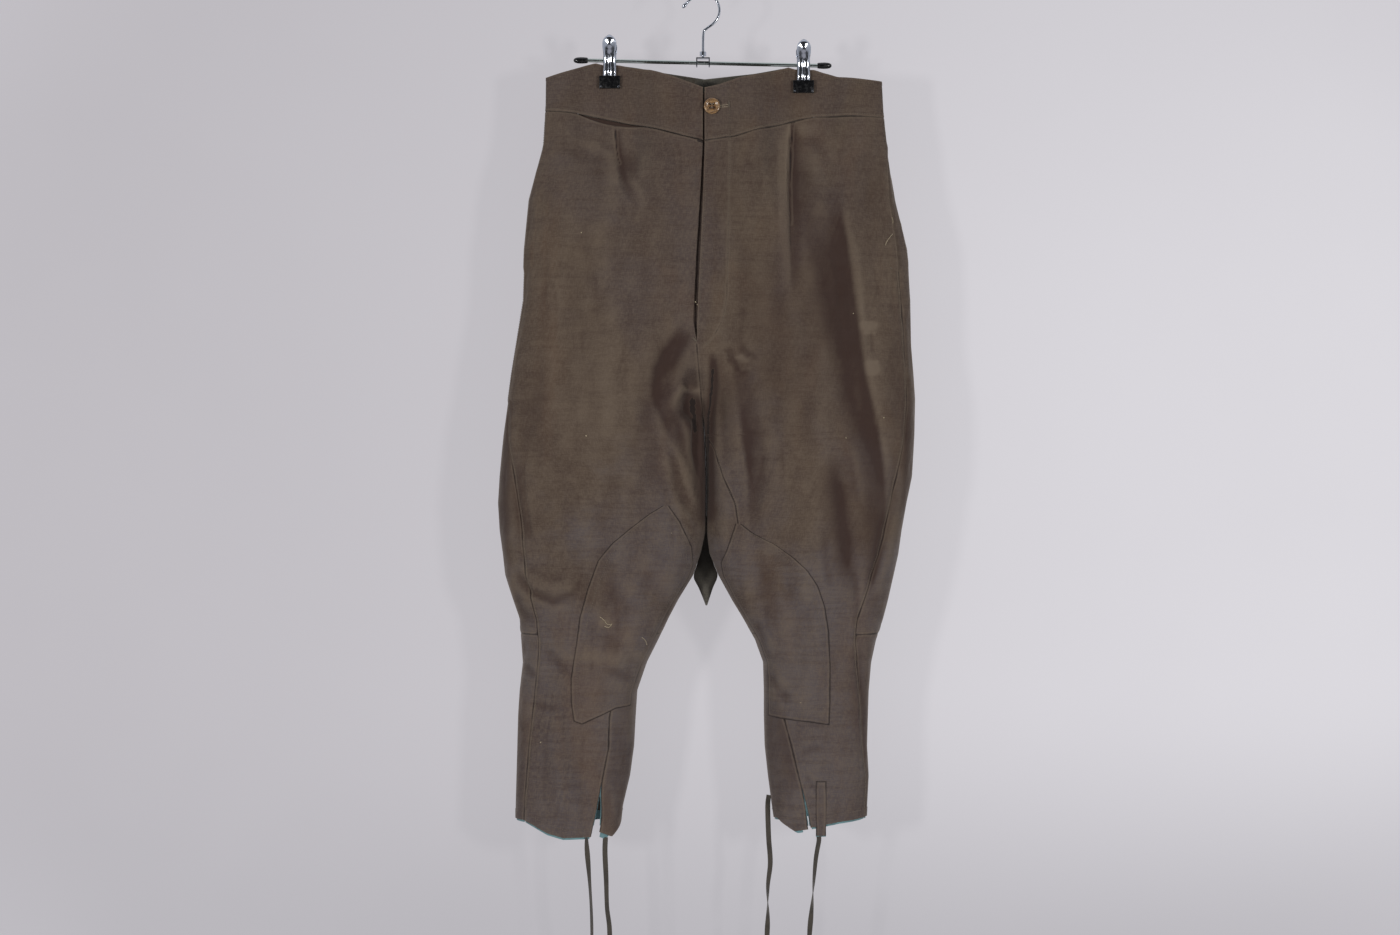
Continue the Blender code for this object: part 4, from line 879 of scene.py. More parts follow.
CLOTH = cloth_material("cloth", linear(82, 69, 57), linear(83, 76, 76), linear(72, 62, 60),
                       linear(50, 34, 29), linear(106, 93, 79))
LINING = cloth_material("cloth_inside", linear(88, 85, 76), linear(84, 80, 73),
                        linear(78, 77, 72), linear(52, 49, 44), linear(108, 104, 92),
                        twill=False)
THREAD = thread_material("thread", linear(94, 83, 69))
HOLE_THREAD = thread_material("hole_thread", linear(132, 118, 98))
PALE_THREAD = thread_material("pale_thread", linear(186, 172, 140))
TEAL = tape_material("edge_tape", linear(106, 142, 146), linear(66, 92, 97))
TIE_TAPE = tape_material("tie_tape", linear(66, 60, 51), linear(38, 34, 29))
CHROME = metal_material("chrome", linear(184, 189, 198), 0.1, 0.4)
ROD_METAL = metal_material("rod_chrome", linear(196, 206, 200), 0.14, 0.3)
BLACK = black_material()
HORN = horn_material()


def add_mesh(name, vertices, faces, material, slot, angle=40.0):
    """Make one smooth mesh from points in millimetres and let it ride on the only body."""
    mesh = bpy.data.meshes.new(name)
    mesh.from_pydata((np.asarray(vertices) * MM).tolist(), [], [tuple(face) for face in faces])
    mesh.update()
    mesh.polygons.foreach_set("use_smooth", [True] * len(mesh.polygons))
    mesh.set_sharp_from_angle(angle=math.radians(angle))
    mesh.materials.append(material)
    thing = bpy.data.objects.new(name, mesh)
    bpy.context.scene.collection.objects.link(thing)
    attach(thing, "root")
    return thing


def paint(thing, name, values):
    """Store one value for each point of a mesh."""
    attribute = thing.data.attributes.new(name, "FLOAT", "POINT")
    attribute.data.foreach_set("value", np.asarray(values, np.float32).ravel())


def lay_flat(thing, flat):
    """Store each point's place on the flat cloth, in metres, as the map for the weave."""
    layer = thing.data.uv_layers.new(name="flat")
    corner = np.zeros(len(thing.data.loops), np.int32)
    thing.data.loops.foreach_get("vertex_index", corner)
    layer.data.foreach_set("uv", (np.asarray(flat)[corner] * MM).astype(np.float32).ravel())


def flat_map(across, down):
    """Places on the flat cloth, from one coordinate across it and one down it."""
    return np.stack(np.broadcast_arrays(across, down), axis=-1)


def tube_faces(rings, sides):
    """Faces of an open tube, from rings of points that follow one another."""
    index = np.arange(rings * sides).reshape(rings, sides)
    after = np.roll(index, -1, axis=1)
    corners = (index[:-1], after[:-1], after[1:], index[1:])
    return np.stack(corners, axis=-1).reshape(-1, 4).tolist()


def wall_faces(rows, cols, flip):
    """Faces of a closed wall: an outer grid, an inner grid after it, and the rims."""
    index = np.arange(rows * cols).reshape(rows, cols)
    corners = (index[:-1, :-1], index[:-1, 1:], index[1:, 1:], index[1:, :-1])
    outer = np.stack(corners, axis=-1).reshape(-1, 4)
    inner = outer[:, ::-1] + rows * cols
    ring = np.concatenate((index[0], index[1:, -1], index[-1, -2::-1], index[-2:0:-1, 0]))
    after = np.roll(ring, -1)
    rim = np.stack((after, ring, ring + rows * cols, after + rows * cols), axis=-1)
    faces = np.concatenate((outer, inner, rim))
    return faces[:, ::-1] if flip else faces


def shell(name, points, normals, wall, material, slot, flat):
    """Close a grid of outer points into a thin wall. The inner side has its own material."""
    rows, cols = points.shape[:2]
    vertices = np.concatenate((points.reshape(-1, 3), (points - normals * wall).reshape(-1, 3)))
    middle = (rows // 2, cols // 2)
    across = points[middle[0], middle[1] + 1] - points[middle[0], middle[1]]
    down = points[middle[0] + 1, middle[1]] - points[middle[0], middle[1]]
    flip = np.dot(np.cross(across, down), normals[middle]) < 0
    thing = add_mesh(name, vertices, wall_faces(rows, cols, flip).tolist(), material, slot)
    if material == CLOTH:
        thing.data.materials.append(LINING)
        cells = (rows - 1) * (cols - 1)
        for number in range(cells, 2 * cells):
            thing.data.polygons[number].material_index = 1
    lay_flat(thing, np.concatenate((flat.reshape(-1, 2),) * 2))
    return thing


BUTTONHOLE = ((19, 143.5), (31, 142))
BUTTONHOLE_LANES = (-1.15, 1.15)
FLY_STITCHING = ((33, 124), (33, 200), (31, 300), (29, 380), (24, 410), (12, 432), (2, 441))
# A stitched line gets the painted shade and highlight of a seam that lies this much further away.
FAINT_LINE = 0.9
# Places so deep that they are painted black as shade, as a line and its half width: the two hollows
# between the thighs, and the open end of the right waist seam.
DARK_OPENINGS = (
    (((-13, 508), (-13, 520)), 3.8),
    (((-12, 520), (-10, 546)), 2.8),
    (((12, 470), (11, 492), (7, 524), (6, 560), (5.5, 610), (5, 645)), 2.0),
    (((-6, 186.5), (0, 188.5)), 1.5),
)
DEEP_RIM = -1.5
# Further than this from a seam or a line, nothing of it shows.
RIM_REACH = 9.0
# Cloth up to this far behind the hanger's plane can be seen from the front, at the fork.
FRONT_HALF = 12.0
# How much less painted shade and dirt the folds of the back hold.
BACK_LESS_SHADE_AND_DIRT = 0.6
MOST_PAINT = 0.9
# Painted highlight with wear on raised places and painted shade with dirt in hollows and deep
# folds, worked out from how far the cloth stands out from its mean over a square of this half size,
# in grid steps.
MEAN_REACH = 5
RAISED_FOR_HIGHLIGHT_AND_WEAR, MOST_RAISED_HIGHLIGHT_AND_WEAR = 2.4, 0.4
SUNK_FOR_SHADE_AND_DIRT, MOST_SUNK_SHADE_AND_DIRT = 3.0, 0.35
DEPTH_FOR_SHADE_AND_DIRT, MOST_DEEP_SHADE_AND_DIRT = 60.0, 0.2
EDGE_WEAR = 0.4
# Strength of the painted shade along folds.
FOLD_SHADE = 1.25
# Sharp creases of the front, drawn as fine lines of painted shade with a painted highlight beside
# them.
SHARP_LINES = (
    ((112, 160), (109.5, 205), (107.5, 240), (108.5, 290)),
    ((93, 163), (111, 158)),
    ((-110, 168), (-106.5, 205), (-104, 212)),
)

# Painted places as (x, drop, half width, half height, strength): first worn places, then darker
# places of dirt and of painted shade on the outer strips, the calves, the thigh and in the
# openings.
WORN_PLACES = (
    (204, 416, 13, 6, 0.85), (208, 469, 12, 8, 0.85), (52, 456, 8, 6, 0.8),
    (-120, 782, 9, 5, 0.5), (96, 860, 14, 9, 0.25), (-110, 824, 70, 8, 0.3),
    (-120, 500, 60, 90, 0.16), (120, 620, 30, 70, 0.12), (120, 830, 22, 50, 0.12),
    (228, 600, 14, 60, 0.2), (-150, 330, 50, 90, 0.1), (-100, 860, 40, 60, 0.1),
)
DIRT_AND_SHADE_PLACES = (
    (96, 430, 62, 130, 0.24), (240, 520, 16, 130, 0.25), (20, 250, 26, 90, 0.1),
    (196, 260, 40, 70, 0.08), (110, 125, 26, 16, 0.22), (60, 455, 8, 5, 0.3),
    (-4, 182, 5, 2.5, 0.9), (-16, 525, 8, 18, 0.85), (-120, 216, 40, 16, 0.12),
    (-130, 740, 20, 30, 0.12), (-250, 600, 13, 150, 0.7), (256, 600, 10, 110, 0.6),
    (-226, 960, 7, 90, 0.25), (204, 930, 6, 120, 0.3), (-96, 950, 20, 80, 0.25),
    (92, 950, 18, 80, 0.2),
)
# Painted shade that lies along folds, troughs and pleats, as lines with a soft and a sharp side,
# like the folds.
SHADED_FOLDS = (
    (((110.5, 160), (108.5, 205), (107, 250), (109, 300)), 0.8, 1.2, 6, 4, 60),
    (((-109, 168), (-105.5, 205), (-101, 225), (-92, 250)), 0.7, 1.2, 5, 4, 30),
    (((-236, 400), (-243, 420), (-236, 424), (-226, 420)), 0.3, 3, 3, 6, 8),
    (((116, 190), (122, 260), (140, 330), (152, 400), (168, 470)), 0.3, 14, 18, 50, 60),
    (((158, 200), (176, 320), (186, 400), (196, 470), (208, 530), (219, 590), (222, 640),
      (214, 700), (204, 745)), 0.62, 30, 5, 170, 100),
    (((154, 560), (168, 640), (175, 690), (181, 760)), 0.55, 18, 8, 60, 60),
    (((34, 446), (46, 500), (57, 580), (66, 640)), 0.42, 5, 15, 40, 60),
    (((-12, 404), (-30, 428), (-46, 450), (-55, 470), (-58, 490), (-54, 512), (-43, 538),
      (-26, 568), (-8, 600)), 0.46, 9, 24, 50, 70),
    (((-5, 492), (-6, 531), (-5, 574), (2, 621), (5, 664)), 0.75, 9, 9, 20, 10),
    (((24, 470), (32, 500), (34, 540), (30, 600)), 0.3, 12, 8, 30, 60),
    (((10, 446), (13, 466), (12, 490), (9, 524), (7, 560), (6, 610), (6, 656)), 0.95, 5, 8, 34, 16),
    (((-236, 726), (-216, 746), (-184, 760), (-150, 752)), 0.18, 3, 6, 24, 24),
    (((228, 640), (214, 700), (204, 752)), 0.45, 8, 5, 50, 30),
    (((-228, 560), (-222, 640), (-208, 700)), 0.3, 14, 6, 60, 40),
    (((-243, 770), (-232, 784), (-218, 792)), 0.5, 5, 6, 14, 12),
    (((190, 800), (192, 860), (198, 960)), 0.35, 9, 5, 30, 50),
    (((92, 880), (104, 930), (118, 1000)), 0.3, 12, 5, 30, 30),
)
# Painted highlights on the lit edges of folds, pleats and the crotch's rolled lip, with rubbed
# wear, in the same form.
HIGHLIT_AND_WORN_FOLDS = (
    (((108, 160), (105.5, 205), (104, 250), (106, 290)), 0.8, 2.8, 1.6, 6, 60),
    (((-111, 168), (-107.5, 205), (-104, 222)), 0.5, 2.5, 1.2, 6, 16),
    (((190, 330), (198, 400), (208, 470), (218, 530)), 0.25, 3, 14, 60, 50),
    (((-36, 524), (-33, 506), (-25, 495), (-16, 491), (-8, 494), (-2, 502)), 0.5, 3.5, 3.5, 14, 10),
    (((-24, 530), (-16, 574), (-2, 621), (0, 650)), 0.3, 4, 3, 20, 20),
    (((-242, 704), (-230, 728), (-214, 744), (-184, 750), (-160, 742), (-150, 720)),
     0.3, 3, 5, 30, 30),
    (((206, 740), (216, 700), (226, 660), (240, 600)), 0.3, 4, 3, 30, 40),
    # darned strokes of the mended places
    (((194, 414), (217, 413)), 0.9, 2.2, 2.2, 4, 4),
    (((197, 424), (215, 425)), 0.7, 1.8, 1.8, 4, 4),
    (((196, 463), (219, 460)), 0.9, 2.2, 2.2, 4, 4),
    (((197, 474), (217, 474)), 0.8, 2.0, 2.0, 4, 4),
    (((36, 457), (60, 453)), 0.8, 2.2, 2.2, 5, 5),
    (((42, 472), (61, 468)), 0.6, 2.0, 2.0, 4, 4),
)


def spots(places, points):
    """Add up soft spots at the given points of the front."""
    total = np.zeros(points.shape[:-1])
    facing = points[..., 1] < 6.0
    for x, drop, half_width, half_height, strength in places:
        far = ((points[..., 0] - x) / half_width) ** 2
        far = far + ((points[..., 2] + drop) / half_height) ** 2
        total += strength * np.exp(-far ** 2) * facing
    return total


def blurred(values, reach):
    """A grid's running mean over a square of the given half size."""
    for axis in (0, 1):
        border = [(reach, reach) if a == axis else (0, 0) for a in (0, 1)]
        padded = np.pad(values, border, mode="edge")
        total = np.cumsum(padded, axis=axis)
        total = np.insert(total, 0, 0.0, axis=axis)
        size = values.shape[axis]
        low = np.take(total, range(0, size), axis=axis)
        high = np.take(total, range(2 * reach + 1, size + 2 * reach + 1), axis=axis)
        values = (high - low) / (2 * reach + 1)
    return values


def dress(thing, wear_and_highlight=0.0, dirt_and_shade=0.0, rim=RIM_REACH):
    """Paint wear and painted highlight, dirt and painted shade, and the distance to the nearest
    seam on a closed wall of cloth.
    """
    half = len(thing.data.vertices) // 2
    for name, values, low, high in (("wear_and_highlight", wear_and_highlight, 0.0, MOST_PAINT),
                                    ("dirt_and_shade", dirt_and_shade, 0.0, MOST_PAINT),
                                    ("rim", rim, DEEP_RIM, RIM_REACH)):
        values = np.ravel(np.clip(values, low, high))
        paint(thing, name, np.tile(np.broadcast_to(values, half), 2))


def nearest(lines, x, drop):
    """Distance from each place to the nearest of some lines of (x, drop)."""
    best = np.full(np.broadcast(x, drop).shape, RIM_REACH)
    for line in lines:
        for (x0, d0), (x1, d1) in zip(line[:-1], line[1:]):
            length = math.hypot(x1 - x0, d1 - d0)
            ux, ud = (x1 - x0) / length, (d1 - d0) / length
            part = np.clip((x - x0) * ux + (drop - d0) * ud, 0.0, length)
            best = np.minimum(best, np.hypot(x - x0 - part * ux, drop - d0 - part * ud))
    return best


def cloth_piece(name, cloth, shares, drops, lift, edges, rim, wall=CLOTH_WALL):
    """One visible cloth piece over its solid. Lift is the sewn relief, edges how near a worn edge
    is, and rim the distance to the nearest seam or sharp crease."""
    points, normals, depth = cloth.read(shares, drops)
    even = np.ones_like(lift)
    reach = np.stack((cloth.hold(points[..., 0], drops), even, even), axis=-1)
    points = points + normals * lift[..., None] * reach
    flat = flat_map(shares * cloth.width(drops), drops)
    thing = shell(name + "_cloth", points, normals, wall, CLOTH, "cloth", flat)
    # Raised places get painted highlight with wear; hollows and deep folds get painted shade with
    # dirt, less on the back; then listed places of dirt and painted shade.
    raised = blurred(depth, MEAN_REACH) - depth
    wear_and_highlight = np.clip(raised / RAISED_FOR_HIGHLIGHT_AND_WEAR, 0.0, MOST_RAISED_HIGHLIGHT_AND_WEAR) + EDGE_WEAR * edges
    wear_and_highlight = wear_and_highlight + spots(WORN_PLACES, points)
    dirt_and_shade = np.clip(-raised / SUNK_FOR_SHADE_AND_DIRT, 0.0, MOST_SUNK_SHADE_AND_DIRT)
    dirt_and_shade = dirt_and_shade + np.clip(depth / DEPTH_FOR_SHADE_AND_DIRT, 0.0, MOST_DEEP_SHADE_AND_DIRT)
    dirt_and_shade = dirt_and_shade * (1.0 - BACK_LESS_SHADE_AND_DIRT * ease(-0.2, 0.5, normals[..., 1]))
    dirt_and_shade = dirt_and_shade + spots(DIRT_AND_SHADE_PLACES, points)
    # Along the front's folds, painted shade in the troughs and painted highlight on the lit edges.
    facing = normals[..., 1] < 0.0
    dirt_and_shade = dirt_and_shade + FOLD_SHADE * fold_depth(points[..., 0], drops, SHADED_FOLDS) * facing
    wear_and_highlight = wear_and_highlight + fold_depth(points[..., 0], drops, HIGHLIT_AND_WORN_FOLDS) * facing
    # The deepest openings are painted black as shade.
    for line, half_width in DARK_OPENINGS:
        near = nearest([line], points[..., 0], drops) < half_width
        rim = np.where(near & (points[..., 1] < FRONT_HALF), DEEP_RIM, rim)
    dress(thing, wear_and_highlight, dirt_and_shade, rim)
    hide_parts(name)
    return thing


def groove(distance):
    """The narrow dip where two pieces meet."""
    return -0.6 * np.exp(-(distance / 1.0) ** 2)


def ridge(distance, reach):
    """The raised strip where turned cloth lies double beside a seam."""
    return 1.0 - ease(reach - 1.5, reach + 1.5, distance)


def stitch_dip(distance, at):
    """The dent that a row of stitches pulls."""
    return -0.35 * np.exp(-((distance - at) / 0.9) ** 2)


def worn_edge(distance, width):
    """How near a rubbed edge is."""
    return np.exp(-(distance / width) ** 2)


def pocket_share(drops):
    """Where along the side seam the slash pocket's mouth runs."""
    return ease(*POCKET_TOP, drops) * (1.0 - ease(*POCKET_LOW, drops))


def front_lift(leg, cloth, shares, drops, tops, hems):
    """Sewn relief of a front and how near its worn edges are."""
    width = cloth.width(drops)
    side, inner = shares * width, (1.0 - shares) * width
    top, hem = drops - tops, hems - drops
    pocket = pocket_share(drops)
    lift = groove(side) + 0.8 * ridge(side, SIDE_TURNING)
    lift = lift + 1.3 * pocket * ridge(side, POCKET_FACING) + stitch_dip(side, SIDE_ROW)
    fly = 1.0 - ease(FLY_BOTTOM - 6, FLY_BOTTOM + 4, drops)
    if leg == LEFT:
        rows = stitch_dip(inner, FLY_ROW) + stitch_dip(inner, FLY_EDGE_ROW)
        lift = lift + fly * (0.5 * ridge(inner, FLY_TURNING) + rows)
    else:
        rows = stitch_dip(inner, RIGHT_FLY_ROW)
        lift = lift + fly * (0.4 * ridge(inner, RIGHT_FLY_TURNING) + rows)
    lift = lift + (1.0 - fly) * (groove(inner) + 0.3 * ridge(inner, INNER_TURNING))
    lift = lift + groove(top) - 0.2 * ridge(top, 2)
    lift = lift + 0.6 * ridge(hem, HEM_TURNING) + stitch_dip(hem, HEM_ROW)
    edges = worn_edge(side, 1.6) + fly * worn_edge(inner, 1.4) + 0.7 * worn_edge(hem, 1.4)
    rim = np.minimum.reduce([side + 0.5 + 9.0 * pocket, top + 0.5, inner + 0.4 + 9.0 * fly])
    return lift, edges, rim


def rows_between(tops, bottoms, count):
    """Drops of a grid whose upper and lower rows follow two edges."""
    even = np.linspace(0.0, 1.0, count)[:, None]
    first, last = float(np.mean(tops)), float(np.mean(bottoms))
    plain = first + even * (last - first)
    upper = (np.asarray(tops) - first) * (1.0 - ease(0.0, TRIM_SHARE, even))
    lower = (np.asarray(bottoms) - last) * ease(1.0 - TRIM_SHARE, 1.0, even)
    return plain + upper + lower


def crowded(count):
    """Shares across a piece with columns close together at both sides."""
    even = np.linspace(-1.0, 1.0, count)
    return 0.5 + 0.5 * (0.72 * even + 0.28 * np.sign(even) * (1.0 - (1.0 - np.abs(even)) ** 3))


def fly_end(cloth, drop):
    """Share across the right front at which the open fly cuts it off."""
    return 1.0 - along(FLY_GAPE, drop) / cloth.width(drop)


def mouth_gape(x):
    """How far the watch pocket's mouth hangs open below the waist seam."""
    low, high = WATCH_POCKET_SLIT
    return WATCH_POCKET_GAPE * np.sin(math.pi * np.clip((x - low) / (high - low), 0.0, 1.0))


def slit_gape(leg, drops):
    """How far the slit at the hem hangs open."""
    return SLIT_GAPE[leg] * ease(SLIT_OPENS, HEM_LEVEL, drops)


def front_panel(leg, cloth):
    """Front of one leg, from the waist seam to the hem."""
    name = "front_" + SIDE_NAMES[leg]
    even = crowded(FRONT_COLUMNS)
    x = cloth.read(even, WAIST_LEVEL)[0][:, 0]
    tops = along(WAIST_SEAM_FRONT, x) + SEAM_GAP / 2
    if leg == RIGHT:
        tops = tops + mouth_gape(x)
    hems = along(HEM_FRONT[leg], even)
    drops = rows_between(tops, hems, FRONT_ROWS)
    high = fly_end(cloth, drops) if leg == RIGHT else 1.0
    shares = even * high
    lift, edges, rim = front_lift(leg, cloth, shares, drops, tops, hems)
    x = cloth.read(shares, drops)[0][..., 0]
    rim = np.minimum(rim, nearest(SHARP_LINES, x, drops))
    if leg == LEFT:
        rim = np.minimum(rim, nearest([FLY_STITCHING], x, drops) + FAINT_LINE)
    return cloth_piece(name, cloth, shares, drops, lift, edges, rim)


def back_panel(leg, cloth):
    """Seat and wide upper leg of one side, down to the seam below the knee."""
    name = "back_" + SIDE_NAMES[leg]
    even = crowded(BACK_COLUMNS)
    x = cloth.read(even, WAIST_LEVEL)[0][:, 0]
    tops = along(WAIST_SEAM_BACK, x) + SEAM_GAP / 2
    drops = rows_between(tops, np.full(BACK_COLUMNS, CALF_SEAM - SEAM_GAP / 2), BACK_ROWS)
    shares = np.broadcast_to(even, drops.shape)
    side, inner = shares * cloth.width(drops), (1.0 - shares) * cloth.width(drops)
    seat = 1.0 - ease(CROTCH_TOP + 20, CROTCH_BOTTOM, drops)
    top, low = drops - tops, CALF_SEAM - drops
    lift = groove(side) - 0.5 * ridge(side, 4)
    lift = lift - pocket_share(drops) * ridge(side, POCKET_BACK_FACING)
    lift = lift + groove(inner) + 0.5 * seat * ridge(inner, SEAT_TURNING)
    lift = lift + stitch_dip(inner, SEAT_ROW) * seat
    lift = lift + groove(top) + groove(low) + 0.4 * ridge(low, CALF_TURNING)
    edges = worn_edge(inner, 1.6) * seat + 0.6 * worn_edge(low, 1.4)
    rim = np.minimum.reduce([side, inner, top, low])
    return cloth_piece(name, cloth, shares, drops, lift, edges, rim)


def calf_panel(leg, cloth):
    """Lower back of one leg, round to the slit at its inner front."""
    name = "calf_" + SIDE_NAMES[leg]
    even = crowded(CALF_COLUMNS)
    hems = along(HEM_CALF[leg], even)
    drops = rows_between(np.full(CALF_COLUMNS, CALF_SEAM + SEAM_GAP / 2), hems, CALF_ROWS)
    shares = even * (1.0 - slit_gape(leg, drops) / cloth.width(drops))
    side, slit = shares * cloth.width(drops), (1.0 - even) * cloth.width(drops)
    top, hem = drops - CALF_SEAM, hems - drops
    lift = groove(side) - 0.4 * ridge(side, 3) + groove(slit) + 0.3 * ridge(slit, SLIT_TURNING)
    lift = lift + groove(top) + 0.5 * ridge(hem, HEM_TURNING) + stitch_dip(hem, HEM_ROW)
    edges = worn_edge(slit, 1.5) + 0.7 * worn_edge(hem, 1.4)
    rim = np.minimum.reduce([side, slit, top])
    return cloth_piece(name, cloth, shares, drops, lift, edges, rim)


def band_lift(drops, tops, bottoms):
    """Sewn relief of the waistband: a turned upper edge and a stitched lower one."""
    above, below = drops - tops, bottoms - drops
    lift = 0.3 * ridge(above, BAND_TOP_TURNING) + stitch_dip(above, BAND_TOP_ROW)
    lift = lift + 0.5 * ridge(below, BAND_LOW_TURNING) + stitch_dip(below, BAND_LOW_ROW)
    edges = worn_edge(above, 1.3) + 0.7 * worn_edge(below, 1.2)
    return lift - 0.2 * worn_edge(below, 0.8), edges, below + 0.5


def band_front(leg, cloth):
    """Front part of the waistband on one side."""
    name = "waistband_" + SIDE_NAMES[leg]
    even = crowded(BAND_COLUMNS)
    shares = even * (fly_end(cloth, WAIST_LEVEL) if leg == RIGHT else 1.0)
    x = cloth.read(shares, WAIST_LEVEL)[0][:, 0]
    tops, bottoms = along(BAND_TOP_FRONT, x), along(WAIST_SEAM_FRONT, x) - SEAM_GAP / 2
    part = np.linspace(0.0, 1.0, BAND_ROWS)[:, None]
    drops = tops + part * (bottoms - tops)
    lift, edges, rim = band_lift(drops, tops, bottoms)
    front = (1.0 - even) * cloth.width(WAIST_LEVEL)
    if leg == LEFT:
        rim = np.minimum(rim, nearest([BUTTONHOLE], x, drops))
    lift = lift + stitch_dip(front, BAND_END_ROW)
    edges = edges + worn_edge(front, 1.3)
    shares = np.broadcast_to(shares, drops.shape)
    return cloth_piece(name, cloth, shares, drops, lift, edges, rim, BAND_WALL)


def band_back(cloths):
    """The waistband's back, one piece from side seam to side seam."""
    even = crowded(BAND_COLUMNS)
    part = np.linspace(0.0, 1.0, BAND_ROWS)[:, None]
    halves = []
    for leg in (RIGHT, LEFT):
        x = cloths[leg].read(even, WAIST_LEVEL)[0][:, 0]
        tops, bottoms = along(BAND_TOP_BACK, x), along(WAIST_SEAM_BACK, x) - SEAM_GAP / 2
        drops = tops + part * (bottoms - tops)
        lift, edges, rim = band_lift(drops, tops, bottoms)
        shares = np.broadcast_to(even, drops.shape)
        points, normals, _ = cloths[leg].read(shares, drops)
        width = cloths[leg].width(drops)
        points = points + normals * lift[..., None]
        halves.append((points, normals, leg * (1.0 - shares) * width, drops, edges, rim))
    points, normals, across, drops, edges, rim = (
        np.concatenate((right, left[:, ::-1][:, 1:]), axis=1) for right, left in zip(*halves))
    seam = BAND_COLUMNS - 1
    points[:, seam] -= normals[:, seam] * BAND_SEAM_DIP
    thing = shell("waistband_back_cloth", points, normals, BAND_WALL, CLOTH, "cloth",
                  flat_map(across, drops))
    dress(thing, EDGE_WEAR * edges, 0.0, rim)
    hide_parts("waistband_back")
    return thing


def plain_strip(node, points, normals, wall, flat, dirt_and_shade):
    """A small inner piece of cloth that shows through a gap, darkened with painted shade."""
    thing = shell(node + "_cloth", points, normals, wall, CLOTH, "cloth", flat)
    dress(thing, dirt_and_shade=dirt_and_shade)
    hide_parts(node)
    return thing


def on_grid(face, xs, drops):
    """Points and normals of a front on a grid of places; drops has a row for each level."""
    rows = [face.on_front(list(zip(xs, row))) for row in drops]
    return [np.stack(part) for part in zip(*rows)]


def fly_underlap(faces):
    """Strip behind the fly and the button."""
    xs = np.linspace(*UNDERLAP_SIDES, UNDERLAP_COLUMNS)
    levels = np.linspace(*UNDERLAP_ENDS, UNDERLAP_ROWS)
    points = np.zeros((len(levels), len(xs), 3))
    normals = np.zeros_like(points)
    for row, drop in enumerate(levels):
        centre = column(LEG_OUTLINE[LEFT], INNER_EDGE, drop)
        for col, x in enumerate(xs):
            face = faces[RIGHT if x < centre else LEFT]
            points[row, col], normals[row, col], _ = face.read(face.share_at_x(x, drop), drop)
            points[row, col, 1] += 0.0 if x < centre else UNDERLAP_BACK
    flat = flat_map(xs[None, :], levels[:, None])
    points = points - normals * UNDERLAP_DEPTH
    return plain_strip("fly_underlap", points, normals, UNDERLAP_WALL, flat, UNDERLAP_SHADE)


def watch_pocket(face):
    """Small pocket whose mouth is the slit under the right waistband."""
    xs = np.linspace(*WATCH_POCKET_SLIT, WATCH_POCKET_COLUMNS)
    part = np.linspace(0.0, 1.0, WATCH_POCKET_ROWS)[:, None]
    tops = along(WAIST_SEAM_FRONT, xs) + SEAM_GAP
    drops = tops + part * (WATCH_POCKET_DROP - tops)
    points, normals = on_grid(face, xs, drops)
    points = points - normals * (CLOTH_WALL + WATCH_POCKET_GAP)
    return plain_strip("watch_pocket", points, normals, WATCH_POCKET_WALL,
                       flat_map(xs[None, :], drops), WATCH_POCKET_SHADE)


def patch_grid(leg, face):
    """Places of a knee patch: shares and drops of its grid."""
    top = PATCH_OUTER[leg][0][0]
    across = np.linspace(0.0, 1.0, PATCH_COLUMNS)
    bottoms = along(PATCH_BOTTOM[leg], across)
    drops = rows_between(np.full(PATCH_COLUMNS, float(top)), bottoms, PATCH_ROWS)
    outer, inner = (np.array([face.share_at_x(along(edge[leg], drop), drop) for drop in levels])
                    for edge, levels in ((PATCH_OUTER, drops[:, 0]), (PATCH_INNER, drops[:, -1])))
    return outer[:, None] + across * (inner - outer)[:, None], drops


def knee_patch(leg, face):
    """Curved patch on the inner knee, laid on the leg and sewn down round its edge."""
    name = "knee_patch_" + SIDE_NAMES[leg]
    shares, drops = patch_grid(leg, face)
    width = face.width(drops)
    side = np.abs(shares - shares[:, :1]) * width
    inner = np.abs(shares[:, -1:] - shares) * width
    rim = np.minimum(np.minimum(side, inner), drops[-1] - drops)
    lift = PATCH_LIFT * (0.35 + 0.65 * ease(0.0, 2.0, rim)) + stitch_dip(rim, 3.2)
    edges = 0.2 * worn_edge(rim - 2.0, 0.9)
    return cloth_piece(name, face, shares, drops, lift, edges, rim - 0.7, PATCH_WALL)


# Places worked out between two points of a route, before it is cut into even steps.
ROUTE_STEPS = 24


def smooth_route(points, step):
    """Points at even steps on a smooth curve through the route's own points."""
    points = np.asarray(points, float)
    padded = np.vstack((2 * points[0] - points[1], points, 2 * points[-1] - points[-2]))
    fine = []
    for index in range(len(points) - 1):
        a, b, c, d = padded[index:index + 4]
        for t in np.linspace(0.0, 1.0, ROUTE_STEPS, endpoint=False):
            fine.append(0.5 * (2 * b + (c - a) * t + (2 * a - 5 * b + 4 * c - d) * t ** 2
                               + (3 * b - a - 3 * c + d) * t ** 3))
    fine = np.vstack((fine, points[-1]))
    at = distances(fine)
    count = max(2, int(round(at[-1] / step)) + 1)
    return read_line(fine, at, np.linspace(0.0, at[-1], count))


def frames(route):
    """Directions along a route and two directions across it that don't turn about it."""
    along_route = np.gradient(route, axis=0)
    along_route /= np.linalg.norm(along_route, axis=1)[:, None]
    helper = np.array((0.0, 1.0, 0.0))
    if abs(along_route[0][1]) > 0.9:
        helper = np.array((1.0, 0.0, 0.0))
    first = np.zeros_like(route)
    for index, direction in enumerate(along_route):
        helper = helper - direction * np.dot(helper, direction)
        helper = helper / np.linalg.norm(helper)
        first[index] = helper
    return along_route, first, np.cross(along_route, first)


